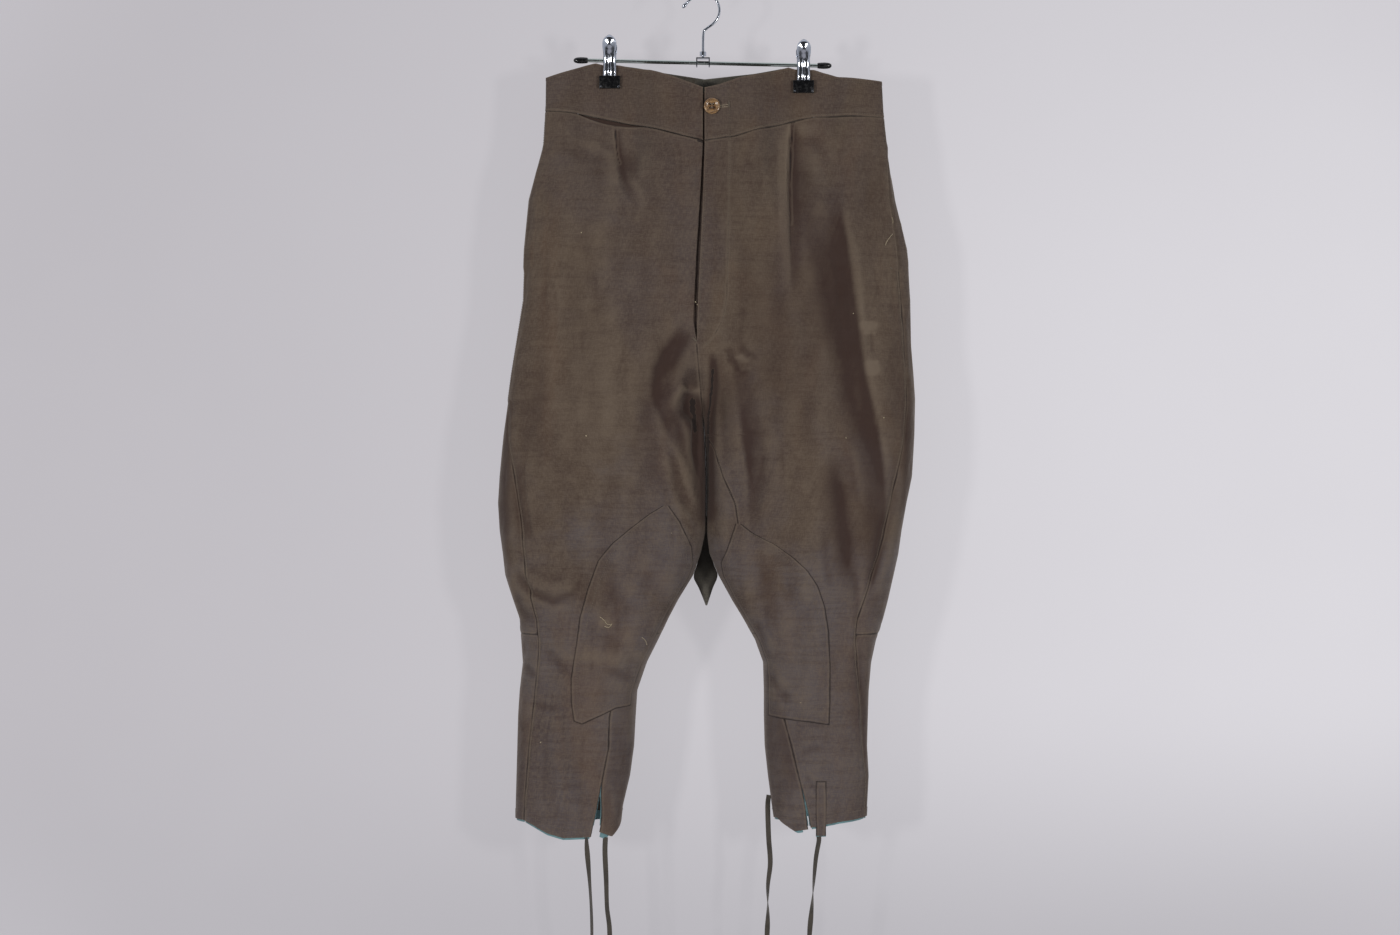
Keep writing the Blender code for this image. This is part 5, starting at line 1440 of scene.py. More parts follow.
def swept(name, route, outline, turns, material, slot, scale=None):
    """Sweep a closed outline of (a, b) along a route, turned by an angle at each point."""
    _, first, second = frames(route)
    outline = np.asarray(outline, float)
    scale = np.ones(len(route)) if scale is None else np.asarray(scale)
    cosine, sine = np.cos(turns)[:, None], np.sin(turns)[:, None]
    a = outline[:, 0] * cosine - outline[:, 1] * sine
    b = outline[:, 0] * sine + outline[:, 1] * cosine
    beside = a[..., None] * first[:, None] + b[..., None] * second[:, None]
    points = route[:, None, :] + beside * scale[:, None, None]
    rows, cols = points.shape[:2]
    faces = tube_faces(rows, cols)
    faces.append(list(range(cols - 1, -1, -1)))
    faces.append(list(range((rows - 1) * cols, rows * cols)))
    thing = add_mesh(name, points.reshape(-1, 3), faces, material, slot)
    girth = np.sum(np.linalg.norm(outline - np.roll(outline, 1, axis=0), axis=1))
    around = np.linspace(0.0, 1.0, cols) * girth
    lay_flat(thing, flat_map(around[None, :], distances(route)[:, None]).reshape(-1, 2))
    return thing


def circle(radius, sides):
    """A round outline."""
    turn = np.linspace(0.0, 2 * math.pi, sides, endpoint=False)
    return np.column_stack((radius * np.cos(turn), radius * np.sin(turn)))


def tape_outline():
    """A flat tape's outline with soft edges and a slight hollow."""
    half, thick = TIE_WIDTH / 2, TIE_THICKNESS / 2
    side = [(-half, 0.0), (-half + TIE_EDGE, thick), (-half / 2, thick * 0.8), (0.0, thick * 0.7),
            (half / 2, thick * 0.8), (half - TIE_EDGE, thick), (half, 0.0)]
    return side + [(a, -b) for a, b in side[-2:0:-1]]


def ties():
    """The four hem ties, as flat tapes that turn as they hang."""
    for number, (name, route) in enumerate(TIE_ROUTES.items()):
        path = smooth_route([(x, y, -drop) for x, y, drop in route], TIE_STEP)
        at = np.linspace(0.0, 1.0, len(path))
        turns = 1.2 * number + 0.5 + 3.0 * np.sin(2.2 * at + number)
        turns = turns + 0.6 * np.sin(9.0 * at + 2 * number)
        tie = swept(name + "_tape", path, tape_outline(), turns, TIE_TAPE, "tape")
        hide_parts(name)


def camera():
    """The photograph's own view."""
    data = bpy.data.cameras.new("camera")
    data.sensor_width = SENSOR
    data.lens = SENSOR * -CAMERA_PLACE[1] / CAMERA_FIELD
    data.clip_end = VIEW_END
    thing = bpy.data.objects.new("camera", data)
    x, y, drop = CAMERA_PLACE
    thing.location = (x * MM, y * MM, -drop * MM)
    thing.rotation_euler = (math.radians(90), 0.0, 0.0)
    bpy.context.scene.collection.objects.link(thing)
    bpy.context.scene.camera = thing


STITCH_PITCH = 3.1
STITCH_LENGTH = 2.2
STITCH_RADIUS = 0.27
LINE_POINTS = 160
# A short thread: one point at each end and two rings of four points.
THREAD_FACES = (
    (0, 1, 2), (0, 2, 3), (0, 3, 4), (0, 4, 1), (9, 6, 5), (9, 7, 6), (9, 8, 7), (9, 5, 8),
    (1, 5, 6, 2), (2, 6, 7, 3), (3, 7, 8, 4), (4, 8, 5, 1),
)


def thread_bits(first, last, up, radius):
    """Points and faces of short threads, thick in the middle, between pairs of points."""
    side = np.cross(last - first, up)
    side /= np.linalg.norm(side, axis=1)[:, None]
    rings = [first - up * radius * 0.4]
    for share in (0.22, 0.78):
        centre = first + (last - first) * share + up * radius * 0.5
        rings += [centre + up * radius, centre + side * radius,
                  centre - up * radius, centre - side * radius]
    rings.append(last - up * radius * 0.4)
    vertices = np.stack(rings, axis=1).reshape(-1, 3)
    faces = [tuple(corner + len(rings) * number for corner in face)
             for number in range(len(first)) for face in THREAD_FACES]
    return vertices, faces


def stitch_row(points, normals):
    """Points and faces of one row of stitches along a line on the cloth."""
    at = distances(points)
    starts = np.arange(STITCH_PITCH / 2, at[-1] - STITCH_LENGTH, STITCH_PITCH)
    up = read_line(normals, at, starts + STITCH_LENGTH / 2)
    up /= np.linalg.norm(up, axis=1)[:, None]
    first, last = (read_line(points, at, starts + reach) for reach in (0.0, STITCH_LENGTH))
    return thread_bits(first, last, up, STITCH_RADIUS)


def joined(rows):
    """Join several rows of stitches into one list of points and faces."""
    vertices, faces, count = [], [], 0
    for row_vertices, row_faces in rows:
        vertices.append(row_vertices)
        faces += [tuple(corner + count for corner in face) for face in row_faces]
        count += len(row_vertices)
    return np.concatenate(vertices), faces


def beside_edge(cloth, edge, offset, top, bottom, lift):
    """A line on a piece at a distance from its first or last side."""
    drops = np.arange(top, bottom, 2.0)
    share = offset / cloth.width(drops)
    points, normals, _ = cloth.read(share if edge == "side" else 1.0 - share, drops)
    return points + normals * lift, normals


def across_piece(cloth, pairs, offset, low, high, lift):
    """A line across a front or back that follows an edge given as (x, drop)."""
    shares = np.linspace(low, high, LINE_POINTS)
    x = cloth.read(shares, WAIST_LEVEL)[0][:, 0]
    points, normals, _ = cloth.read(shares, along(pairs, x) + offset)
    return points + normals * lift, normals


def across_hem(cloth, pairs, offset, low, high, lift):
    """A line across a piece that follows its hem, given as (share, drop)."""
    shares = np.linspace(low, high, LINE_POINTS)
    points, normals, _ = cloth.read(shares, along(pairs, shares) + offset)
    return points + normals * lift, normals


def at_places(face, places, lift):
    """A line through places of a front given as (x, drop)."""
    route = smooth_route([(x, 0.0, drop) for x, drop in places], 2.0)
    points, normals = face.on_front([(x, drop) for x, _, drop in route])
    return points + normals * lift, normals


def patch_line(leg, face, inside):
    """A line round a knee patch's sides and lower end, some grid steps inside its edge."""
    shares, drops = patch_grid(leg, face)
    rows = range(inside, drops.shape[0] - inside)
    ring = [(row, inside) for row in rows]
    ring += [(-1 - inside, col) for col in range(inside, PATCH_COLUMNS - inside)]
    ring += [(row, -1 - inside) for row in reversed(rows)]
    points, normals, _ = face.read(*([grid[place] for place in ring] for grid in (shares, drops)))
    return points + normals * (PATCH_LIFT + 0.05), normals


def bartack(face, places, lift=1.0, width=2.6):
    """A short dense bar of stitches laid across a line between two places of a front."""
    points, normals = face.on_front(places)
    length = np.linalg.norm(points[1] - points[0])
    steps = np.arange(0.0, length, 0.5)[:, None] / length
    centres = points[0] + (points[1] - points[0]) * steps + normals[0] * lift
    up = np.repeat(normals[:1], len(steps), axis=0)
    side = np.cross(points[1] - points[0], normals[0]) / length
    return thread_bits(centres - side * width / 2, centres + side * width / 2, up, 0.3)


GUSSET_SEAMS = {
    RIGHT: ((-30, 668), (-16, 676), (-2, 690)),
    LEFT: ((16, 566), (25, 606), (38, 630), (44, 655)),
}
BARTACKS = (((221, 192), (229, 191)), ((232, 344), (240, 343)), ((31.5, 137), (32, 144)),
            ((-12, 432), (-3, 436)), ((-222, 192), (-214, 192)))
BAND_TOP_STITCHING = 5.0
THREAD_ANGLE = 80.0


def sewing(leg, fronts, faces, backs):
    """All visible stitching of one side."""
    front, face, back = fronts[leg], faces[leg], backs[leg]
    upper = [(x, drop + BAND_TOP_STITCHING) for x, drop in BAND_TOP_FRONT]
    upper_back = [(x, drop + BAND_TOP_STITCHING) for x, drop in BAND_TOP_BACK]
    rows = [beside_edge(front, "side", 2.6, 158, 1018, 0.75),
            across_piece(front, WAIST_SEAM_FRONT, -3.0, 0.01, 0.96, 0.35),
            across_piece(back, WAIST_SEAM_BACK, -3.0, 0.01, 0.98, 0.35),
            across_hem(front, HEM_FRONT[leg], -10.0, 0.01, 0.99, 0.35),
            across_hem(back, HEM_CALF[leg], -10.0, 0.02, 0.94, 0.3),
            beside_edge(back, "inner", 7.0, 164, 470, 0.4),
            patch_line(leg, face, 4),
            across_piece(front, upper, 0.0, 0.01, 0.97, 0.2),
            across_piece(back, upper_back, 0.0, 0.01, 0.99, 0.2)]
    if leg == LEFT:
        rows += [at_places(face, FLY_STITCHING, 0.35),
                 beside_edge(front, "inner", 3.0, 124, 430, 0.35)]
    rows.append(at_places(face, GUSSET_SEAMS[leg], 0.15))
    made = [stitch_row(points, normals) for points, normals in rows]
    for places in BARTACKS:
        if (places[0][0] > 0) == (leg == LEFT):
            made.append(bartack(face, places))
    add_mesh("stitching_" + SIDE_NAMES[leg], *joined(made), THREAD, "cloth", THREAD_ANGLE)


def buttonhole(face):
    """The worked buttonhole to the left of the button, its two sides in close stitches."""
    sides = [[(x, drop + lane) for x, drop in BUTTONHOLE] for lane in BUTTONHOLE_LANES]
    rows = [bartack(face, side, 0.5, 1.5) for side in sides]
    add_mesh("buttonhole_stitching", *joined(rows), HOLE_THREAD, "cloth", THREAD_ANGLE)


# Loose threads as (x, drop, lift) and lint as (x, drop).
LOOSE_THREADS = (
    ((235.5, 301, 1.0), (232, 304, 5.0), (227, 311, 5.0), (225, 316, 3.0)),
    ((238, 280, 1.5), (241, 284, 3.0), (240, 288, 1.5)),
    ((-127, 774, 0.9), (-122, 778, 1.8), (-118, 783, 1.2), (-113, 784, 0.9)),
    ((-112, 783, 0.9), (-116, 787, 2.0), (-121, 786, 1.0)),
    ((-76, 800, 0.9), (-72, 804, 1.4), (-70, 810, 0.9)),
)
LINT = ((-144, 551.5), (-38.5, 671), (222.5, 529), (175, 554), (-6, 390), (-10, 387),
        (186, 400), (-150, 300), (120, 880), (-200, 930))
LOOSE_THREAD_RADIUS = 0.28
LINT_RADIUS = 0.6


def threads(faces):
    """A few loose thread ends and bits of lint on the front."""
    for number, route in enumerate(LOOSE_THREADS):
        leg = LEFT if route[0][0] > 0 else RIGHT
        points, normals = faces[leg].on_front([(x, drop) for x, drop, _ in route])
        points = points + normals * np.array([lift for _, _, lift in route])[:, None]
        path = smooth_route(points, 0.7)
        swept("loose_thread_%d" % number, path, circle(LOOSE_THREAD_RADIUS, 6),
              np.zeros(len(path)), PALE_THREAD, "cloth")
    rows = []
    for number, (x, drop) in enumerate(LINT):
        leg = LEFT if x > 0 else RIGHT
        slant = 1.6 * math.cos(2.4 * number)
        points, normals = faces[leg].on_front([(x, drop), (x + slant, drop + 1.3)])
        points = points + normals * 0.3
        rows.append(thread_bits(points[:1], points[1:], normals[:1], LINT_RADIUS))
    add_mesh("lint", *joined(rows), PALE_THREAD, "cloth", THREAD_ANGLE)


# Edge tapes: how far below the hem, or in from the slit, each line of the tape lies.
EDGE_TAPE_LINES = np.array((-9.0, -4.0, 1.4, 2.6))
SLIT_TAPE_LINES = np.array((8.0, 3.0, -0.2, -0.9))
SLIT_TAPE_ENDS = (966, 1034)
EDGE_TAPE_WALL = 0.5
# The share across the piece at which the hem's tape ends.
EDGE_TAPE_SHARES = {"front": 0.985, "calf": 0.955}


def edge_tapes(fronts, backs):
    """The blue-grey tape that edges the hems and slits on their inner side."""
    for leg, side in SIDE_NAMES.items():
        for kind, cloth, hem in (("front", fronts[leg], HEM_FRONT), ("calf", backs[leg], HEM_CALF)):
            shares = np.linspace(0.004, EDGE_TAPE_SHARES[kind], 90)
            drops = along(hem[leg], shares) + EDGE_TAPE_LINES[:, None]
            points, normals, _ = cloth.read(np.broadcast_to(shares, drops.shape), drops)
            points = points - normals * (CLOTH_WALL + 0.15)
            flat = flat_map(EDGE_TAPE_LINES[:, None], shares * 240.0)
            shell("edge_tape_%s_%s" % (kind, side), points, normals, EDGE_TAPE_WALL, TEAL,
                  "tape", flat)


def slit_tapes(fronts, backs):
    """The same tape up the two sides of each slit."""
    for leg, side in SIDE_NAMES.items():
        for kind, cloth in (("front", fronts[leg]), ("calf", backs[leg])):
            levels = np.linspace(*SLIT_TAPE_ENDS, 40)
            gape = slit_gape(leg, levels) if kind == "calf" else 0.0
            inward = SLIT_TAPE_LINES[:, None] + gape
            shares = 1.0 - inward / cloth.width(levels)
            points, normals, _ = cloth.read(shares, np.broadcast_to(levels, shares.shape))
            beyond = np.minimum(inward, 0.0)
            points = points - normals * (CLOTH_WALL + 0.2)
            points[..., 0] += leg * beyond
            flat = flat_map(SLIT_TAPE_LINES[:, None], levels)
            shell("slit_tape_%s_%s" % (kind, side), points, normals, EDGE_TAPE_WALL, TEAL,
                  "tape", flat)


TAB_SIDES = (139.5, 152.0)
TAB_ENDS = (978, 1046)
TAB_COLUMNS, TAB_ROWS = 12, 40
TAB_WALL = 1.0
TAB_CROWN = 0.5
TAB_RISE = 0.4
# The tab's blue-grey end: how far it shows below, how deep inside it lies, and its wall.
TAB_END_SHOWS = 1.4
TAB_END_INSIDE = 1.05
TAB_END_WALL = 0.4


def slit_tab(face):
    """Turned tape end beside the left slit, past the hem, with its blue-grey end."""
    xs = np.linspace(*TAB_SIDES, TAB_COLUMNS)
    levels = np.linspace(*TAB_ENDS, TAB_ROWS)[:, None]
    drops = np.broadcast_to(levels, (TAB_ROWS, TAB_COLUMNS))
    points, normals = on_grid(face, xs, drops)
    part = np.broadcast_to(np.linspace(0.0, 1.0, TAB_COLUMNS), drops.shape)
    crown = TAB_CROWN * np.sin(math.pi * part) + TAB_RISE
    points = points + normals * (crown + SEAM_GAP)[..., None]
    tab = shell("slit_tab_left_cloth", points, normals, TAB_WALL, CLOTH, "cloth",
                flat_map(xs[None, :], levels))
    sides = (TAB_SIDES[1] - TAB_SIDES[0]) * np.minimum(part, 1.0 - part)
    # Painted highlight grows towards the tab's +X side and painted shade towards its -X side; its
    # sides and upper end get the seam's painted shade and highlight.
    dress(tab, 0.25 * part ** 2, 0.2 * (1.0 - part), np.minimum(sides, drops - TAB_ENDS[0]))
    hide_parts("slit_tab_left")
    low = points[-1:] - np.array((0.0, 0.0, TAB_END_SHOWS))
    strip = np.concatenate((points[-3:], low))
    inward = np.concatenate((normals[-3:], normals[-1:]))
    shell("slit_tab_lining", strip - inward * TAB_END_INSIDE, inward, TAB_END_WALL, TEAL, "tape",
          flat_map(np.arange(4.0)[:, None], xs[None, :]))
    return tab


BUTTON_PLACE = (11, 143)
BUTTON_OUTLINE = (
    (0.0, 0.0), (8.6, 0.0), (9.6, 0.5), (10.0, 1.4), (9.8, 2.3), (9.1, 2.95), (8.3, 3.15),
    (7.5, 3.0), (6.8, 2.5), (6.1, 2.1), (4.0, 1.95), (0.0, 1.9),
)
BUTTON_HOLE_RADIUS = 1.25
BUTTON_HOLE_OFFSET = 2.2
BUTTON_HOLE_DEPTH = 6.0
BUTTON_THREAD_HEIGHT = 2.15
BUTTON_THREAD_RADIUS = 0.3
BUTTON_THREADS = (-0.35, 0.0, 0.35)
ROUND_ANGLE = 30.0


def turned(name, outline, origin, axis, sides, material, slot):
    """Turn an outline of (radius, height), from axis to axis, about a level line through a
    place."""
    axis = np.asarray(axis, float) / np.linalg.norm(axis)
    first = np.cross((0.0, 0.0, 1.0), axis)
    first /= np.linalg.norm(first)
    second = np.cross(axis, first)
    turn = np.linspace(0.0, 2 * math.pi, sides, endpoint=False)
    ring = np.cos(turn)[:, None] * first + np.sin(turn)[:, None] * second
    inner = [(radius, height) for radius, height in outline if radius > 0.0]
    origin = np.asarray(origin)
    points = np.array([origin + axis * height + ring * radius for radius, height in inner])
    ends = [origin + axis * outline[place][1] for place in (0, -1)]
    vertices = np.concatenate((points.reshape(-1, 3), ends))
    count = len(inner) * sides
    last = count - sides
    steps = [(place, (place + 1) % sides) for place in range(sides)]
    faces = tube_faces(len(inner), sides)
    faces += [(after, place, count) for place, after in steps]
    faces += [(last + place, last + after, count + 1) for place, after in steps]
    return add_mesh(name, vertices, faces, material, slot, ROUND_ANGLE)


def waist_button():
    """Four-hole button over its solid, with crossed thread through its holes."""
    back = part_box("waist_button")[1].y / MM
    origin = np.array((BUTTON_PLACE[0], back, -BUTTON_PLACE[1]))
    button = turned("waist_button_horn", BUTTON_OUTLINE, origin, (0, -1, 0), 64, HORN, "horn")
    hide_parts("waist_button")
    hole = ((0.0, 0.0), (BUTTON_HOLE_RADIUS, 0.0), (BUTTON_HOLE_RADIUS, BUTTON_HOLE_DEPTH),
            (0.0, BUTTON_HOLE_DEPTH))
    cutters = []
    for side, height in ((-1, -1), (-1, 1), (1, -1), (1, 1)):
        centre = origin + np.array((side * BUTTON_HOLE_OFFSET, 1.0, height * BUTTON_HOLE_OFFSET))
        cutter = turned("cutter", hole, centre, (0, -1, 0), 20, HORN, "horn")
        modifier = button.modifiers.new("hole", "BOOLEAN")
        modifier.operation = "DIFFERENCE"
        modifier.solver = "EXACT"
        modifier.object = cutter
        cutters.append(cutter)
    bpy.context.view_layer.update()
    depsgraph = bpy.context.evaluated_depsgraph_get()
    made = bpy.data.meshes.new_from_object(button.evaluated_get(depsgraph))
    button.modifiers.clear()
    button.data = made
    for cutter in cutters:
        bpy.data.objects.remove(cutter, do_unlink=True)
    ends = np.array([(BUTTON_HOLE_OFFSET, -BUTTON_THREAD_HEIGHT, side * BUTTON_HOLE_OFFSET + shift)
                     for side in (-1, 1) for shift in BUTTON_THREADS])
    starts = ends * np.array((-1.0, 1.0, 1.0))
    up = np.tile((0.0, -1.0, 0.0), (len(ends), 1))
    bits = thread_bits(origin + starts, origin + ends, up, BUTTON_THREAD_RADIUS)
    add_mesh("button_thread", *bits, THREAD, "cloth", THREAD_ANGLE)


WIRE_DIAMETER = 3.2
HOOK_ROUTE = (
    (-25.6, -16.6), (-22.4, -12.6), (-17.3, -7.4), (-10.2, -1.1), (0.0, 1.6), (10.3, -1.2),
    (17.8, -8.7), (20.6, -19.0), (18.4, -28.8), (12.4, -36.4), (4.6, -42.2), (0.6, -48.5),
    (0.0, -78.5),
)
ROD_RIGHT = (-158, -81.7)
ROD_LEFT = (157, -89.0)
CAP_OUTLINE = (
    (0.0, 0.0), (2.7, 0.0), (3.3, 0.4), (3.6, 1.4), (3.9, 5.0), (4.0, 9.0), (3.8, 12.5),
    (3.2, 15.2), (2.2, 17.0), (1.0, 17.8), (0.0, 18.0),
)
# The hook's end is a small knob: its place and reach in route points, its extra thickness, and
# how thick its first two rings are.
KNOB_PLACE, KNOB_REACH, KNOB_SWELL = 4, 3.0, 0.5
KNOB_START = (0.55, 0.9)
CLIP_WIDTH = 17.5
CLIP_THICKNESS = 1.5
# A clip arm's middle line from its thumb end to its jaw, as (distance forward, drop).
CLIP_PROFILE = (
    (10.6, -24.6), (12.2, -27.2), (14.6, -27.4), (15.8, -25.2), (14.8, -21.5), (12.4, -16.0),
    (10.0, -9.5), (7.9, -3.0), (6.8, 3.5), (6.9, 9.5), (6.8, 14.5), (5.6, 20.0), (5.0, 27.0),
    (5.0, 34.8),
)
ARM_COLUMNS = 33
ARM_WALL = 0.9
# The thumb end is rounded over this length. Between the drops that follow, the arm's sides are
# drawn in a little, its body is pressed, and its form flattens out towards the jaw.
TIP_DROP, TIP_LENGTH = -28.5, 9.0
WAIST_STARTS, WAIST_ENDS, WAIST_SHARE = (-16, -8), (6, 18), 0.1
BODY_STARTS = (-14, -6)
BODY_ENDS = (18, 26)
# The pressed form across the arm: its crown at the thumb end and how much lower it is on the
# body, the groove, the turned-in sides, and the boss under the thumb. Shares are of half the
# arm's width.
THUMB_CROWN, CROWN_LOSS = 2.2, 0.5
GROOVE_DEPTH, GROOVE_SHARE = 1.1, 0.26
FLANGE_DEPTH, FLANGE_STARTS = 1.3, 0.74
BOSS_HEIGHT, BOSS_DROP, BOSS_REACH, BOSS_SHARE = 1.1, -19.0, 3.6, 0.42


def rod_drop(x):
    """Drop of the rod's centre, which hangs a little aslant."""
    (x0, z0), (x1, z1) = ROD_RIGHT, ROD_LEFT
    return -(z0 + (z1 - z0) * (x - x0) / (x1 - x0))


def clip_arm(side, where, face, x):
    """One pressed clip arm: a rounded thumb end, turned-in sides and a groove down its middle."""
    line = smooth_route([(0.0, y, down) for y, down in CLIP_PROFILE], 0.7)
    tangent = np.gradient(line, axis=0)
    tangent /= np.linalg.norm(tangent, axis=1)[:, None]
    out_y, out_down = tangent[:, 2], -tangent[:, 1]
    turn = np.sign(np.sum(out_y))
    out_y, out_down = out_y * turn, out_down * turn
    across = np.linspace(-1.0, 1.0, ARM_COLUMNS)
    below = line[:, 2]
    tip = np.clip((below - TIP_DROP) / TIP_LENGTH, 0.0, 1.0)
    waist = 1.0 - WAIST_SHARE * ease(*WAIST_STARTS, below) * (1.0 - ease(*WAIST_ENDS, below))
    half = CLIP_WIDTH / 2 * np.sqrt(np.clip(1.0 - (1.0 - tip) ** 2, 0.16, 1.0)) * waist
    body = ease(*BODY_STARTS, below)[:, None]
    pressed = 1.0 - ease(*BODY_ENDS, below)[:, None]
    crown = (THUMB_CROWN - CROWN_LOSS * body) * pressed * (1.0 - across ** 2)
    groove_form = -GROOVE_DEPTH * body * pressed * np.exp(-(across / GROOVE_SHARE) ** 2)
    turned_in = np.clip((np.abs(across) - FLANGE_STARTS) / (1.0 - FLANGE_STARTS), 0.0, 1.0)
    flange = -FLANGE_DEPTH * body * pressed * turned_in ** 2
    far = ((below[:, None] - BOSS_DROP) / BOSS_REACH) ** 2 + (across / BOSS_SHARE) ** 2
    boss = BOSS_HEIGHT * np.exp(-far)
    lift = CLIP_THICKNESS * 0.5 + crown + groove_form + flange + boss
    points = np.zeros((len(line), len(across), 3))
    points[:, :, 0] = x + half[:, None] * across
    points[:, :, 1] = face * (line[:, 1][:, None] + out_y[:, None] * lift)
    points[:, :, 2] = -(rod_drop(x) + below[:, None] + out_down[:, None] * lift)
    normals = grid_normals(points)
    plain = np.stack((np.zeros_like(out_y), face * out_y, -out_down), axis=-1)[:, None, :]
    normals *= np.sign(np.sum(normals * plain, axis=2))[:, :, None]
    name = "clip_%s_arm_%s" % (side, where)
    flat = flat_map(across[None, :] * CLIP_WIDTH, below[:, None])
    arm = shell(name + "_pressed", points, normals, ARM_WALL, CHROME, "chrome", flat)
    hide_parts(name)


# The boot over a jaw's end: how far it stands out and reaches below, its rounded edges, and the
# two bright studs at its lower corners.
BOOT_THICKNESS = 3.0
BOOT_BELOW = 1.8
BOOT_ROUNDING = 0.6
BOX_FACES = ((0, 1, 3, 2), (4, 6, 7, 5), (0, 4, 5, 1), (2, 3, 7, 6), (0, 2, 6, 4), (1, 5, 7, 3))
STUD_INSET = 2.2
STUD_SUNK = 0.2
STUD_OUTLINE = ((0.0, 0.0), (1.1, 0.0), (1.0, 0.5), (0.6, 0.9), (0.0, 1.0))
SPRING_TURNS = 6.5
SPRING_POINTS = 170
SPRING_LENGTH = 11.2
SPRING_RADIUS = 4.6
SPRING_WIRE_RADIUS = 0.7


def clip_pad(side, where, face):
    """A moulded black boot over the jaw's end, with soft edges and two bright studs."""
    node = "clip_%s_pad_%s" % (side, where)
    low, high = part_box(node)
    if face == FRONT:
        low.y -= BOOT_THICKNESS * MM
    else:
        high.y += BOOT_THICKNESS * MM
    low.z -= BOOT_BELOW * MM
    mesh = bpy.data.meshes.new(node + "_moulded")
    corners = [(x, y, z) for x in (low.x, high.x) for y in (low.y, high.y) for z in (low.z, high.z)]
    mesh.from_pydata(corners, [], BOX_FACES)
    pad = bpy.data.objects.new(node + "_moulded", mesh)
    bpy.context.scene.collection.objects.link(pad)
    bevel = pad.modifiers.new("edges", "BEVEL")
    bevel.width = BOOT_ROUNDING * MM
    bevel.segments = 4
    mesh.materials.append(BLACK)
    mesh.polygons.foreach_set("use_smooth", [True] * len(BOX_FACES))
    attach(pad, "root")
    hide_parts(node)
    y = (low.y if face == FRONT else high.y) / MM - face * STUD_SUNK
    for number, x in enumerate((low.x / MM + STUD_INSET, high.x / MM - STUD_INSET)):
        turned("%s_tooth_%d" % (node, number), STUD_OUTLINE, (x, y, low.z / MM + STUD_INSET),
               (0, face, 0), 14, CHROME, "chrome")


def spring(side, x):
    """The coil spring round the sleeve, which holds the clip shut."""
    turns = np.linspace(0.0, 2 * math.pi * SPRING_TURNS, SPRING_POINTS)
    places = x + SPRING_LENGTH * (np.linspace(0.0, 1.0, SPRING_POINTS) - 0.5)
    route = np.column_stack((places, SPRING_RADIUS * np.cos(turns),
                             SPRING_RADIUS * np.sin(turns) - rod_drop(x)))
    swept("clip_%s_spring" % side, route, circle(SPRING_WIRE_RADIUS, 8), np.zeros(len(route)),
          ROD_METAL, "chrome")


def hanger():
    """Hook, rod, caps and bracket: finer round ones where it shows, plated metal and black caps."""
    route = smooth_route([(x, 0.0, z) for x, z in HOOK_ROUTE], 1.0)
    at = np.arange(len(route))
    swell = 1.0 + KNOB_SWELL * np.exp(-((at - KNOB_PLACE) / KNOB_REACH) ** 2)
    swell[:2] = KNOB_START
    hook = swept("hanger_hook_wire", route, circle(WIRE_DIAMETER / 2, 20), np.zeros(len(route)),
                 CHROME, "chrome", swell)
    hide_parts("hanger_hook")
    for way, side in SIDE_NAMES.items():
        node = "hanger_cap_" + side
        low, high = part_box(node)
        start = (high.x if way == RIGHT else low.x) / MM
        cap = turned(node + "_round", CAP_OUTLINE, (start, 0.0, -rod_drop(start)), (way, 0, 0), 40,
                     BLACK, "black_plastic")
        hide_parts(node)
    metals = {"hanger_collar": CHROME, "hanger_bracket": CHROME, "hanger_rod": ROD_METAL,
              "clip_right_sleeve": ROD_METAL, "clip_left_sleeve": ROD_METAL}
    for name, material in metals.items():
        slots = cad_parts[name].data.materials
        slots.clear()
        slots.append(material)
    for side, x in zip(("right", "left"), CLIP_CENTRES):
        for where, face in (("front", FRONT), ("back", BACK)):
            clip_arm(side, where, face, x)
            clip_pad(side, where, face)
        spring(side, x)


# The seat's lowest fold hangs in the fork, behind: (drop, left side, right side).
SEAT_FOLD = (
    (652, 3.4, 4.6), (668, 2.6, 5.4), (676, 1.6, 5.8), (690, -2.6, 7.2), (698, -3.6, 8.6),
    (712, -7.4, 13.4), (725, -11.7, 18.7), (731, -11.5, 17.6), (742, -5.5, 12.5),
    (754, -0.5, 8.6), (764, 3.2, 5.4),
)
SEAT_FOLD_ROWS, SEAT_FOLD_COLUMNS = 40, 17
SEAT_FOLD_WALL = 0.6
# It hangs this far behind the hanger's plane at this drop, leans back by this slope, bulges
# forward below and is tucked in between the legs above.
SEAT_FOLD_LEVEL, SEAT_FOLD_PLACE, SEAT_FOLD_SLOPE = 690, 14.0, 0.06
SEAT_FOLD_BULGE, SEAT_FOLD_BULGED = 6.0, (690, 730)
SEAT_FOLD_TUCK, SEAT_FOLD_TUCKED = 12.0, (690, 664)
# Painted shade at its sides and upper end, and how much less of it its lower middle has.
SEAT_FOLD_SHADE, SEAT_FOLD_SHADE_LOSS, SEAT_FOLD_LESS_SHADED = 0.85, 0.75, (700, 745)


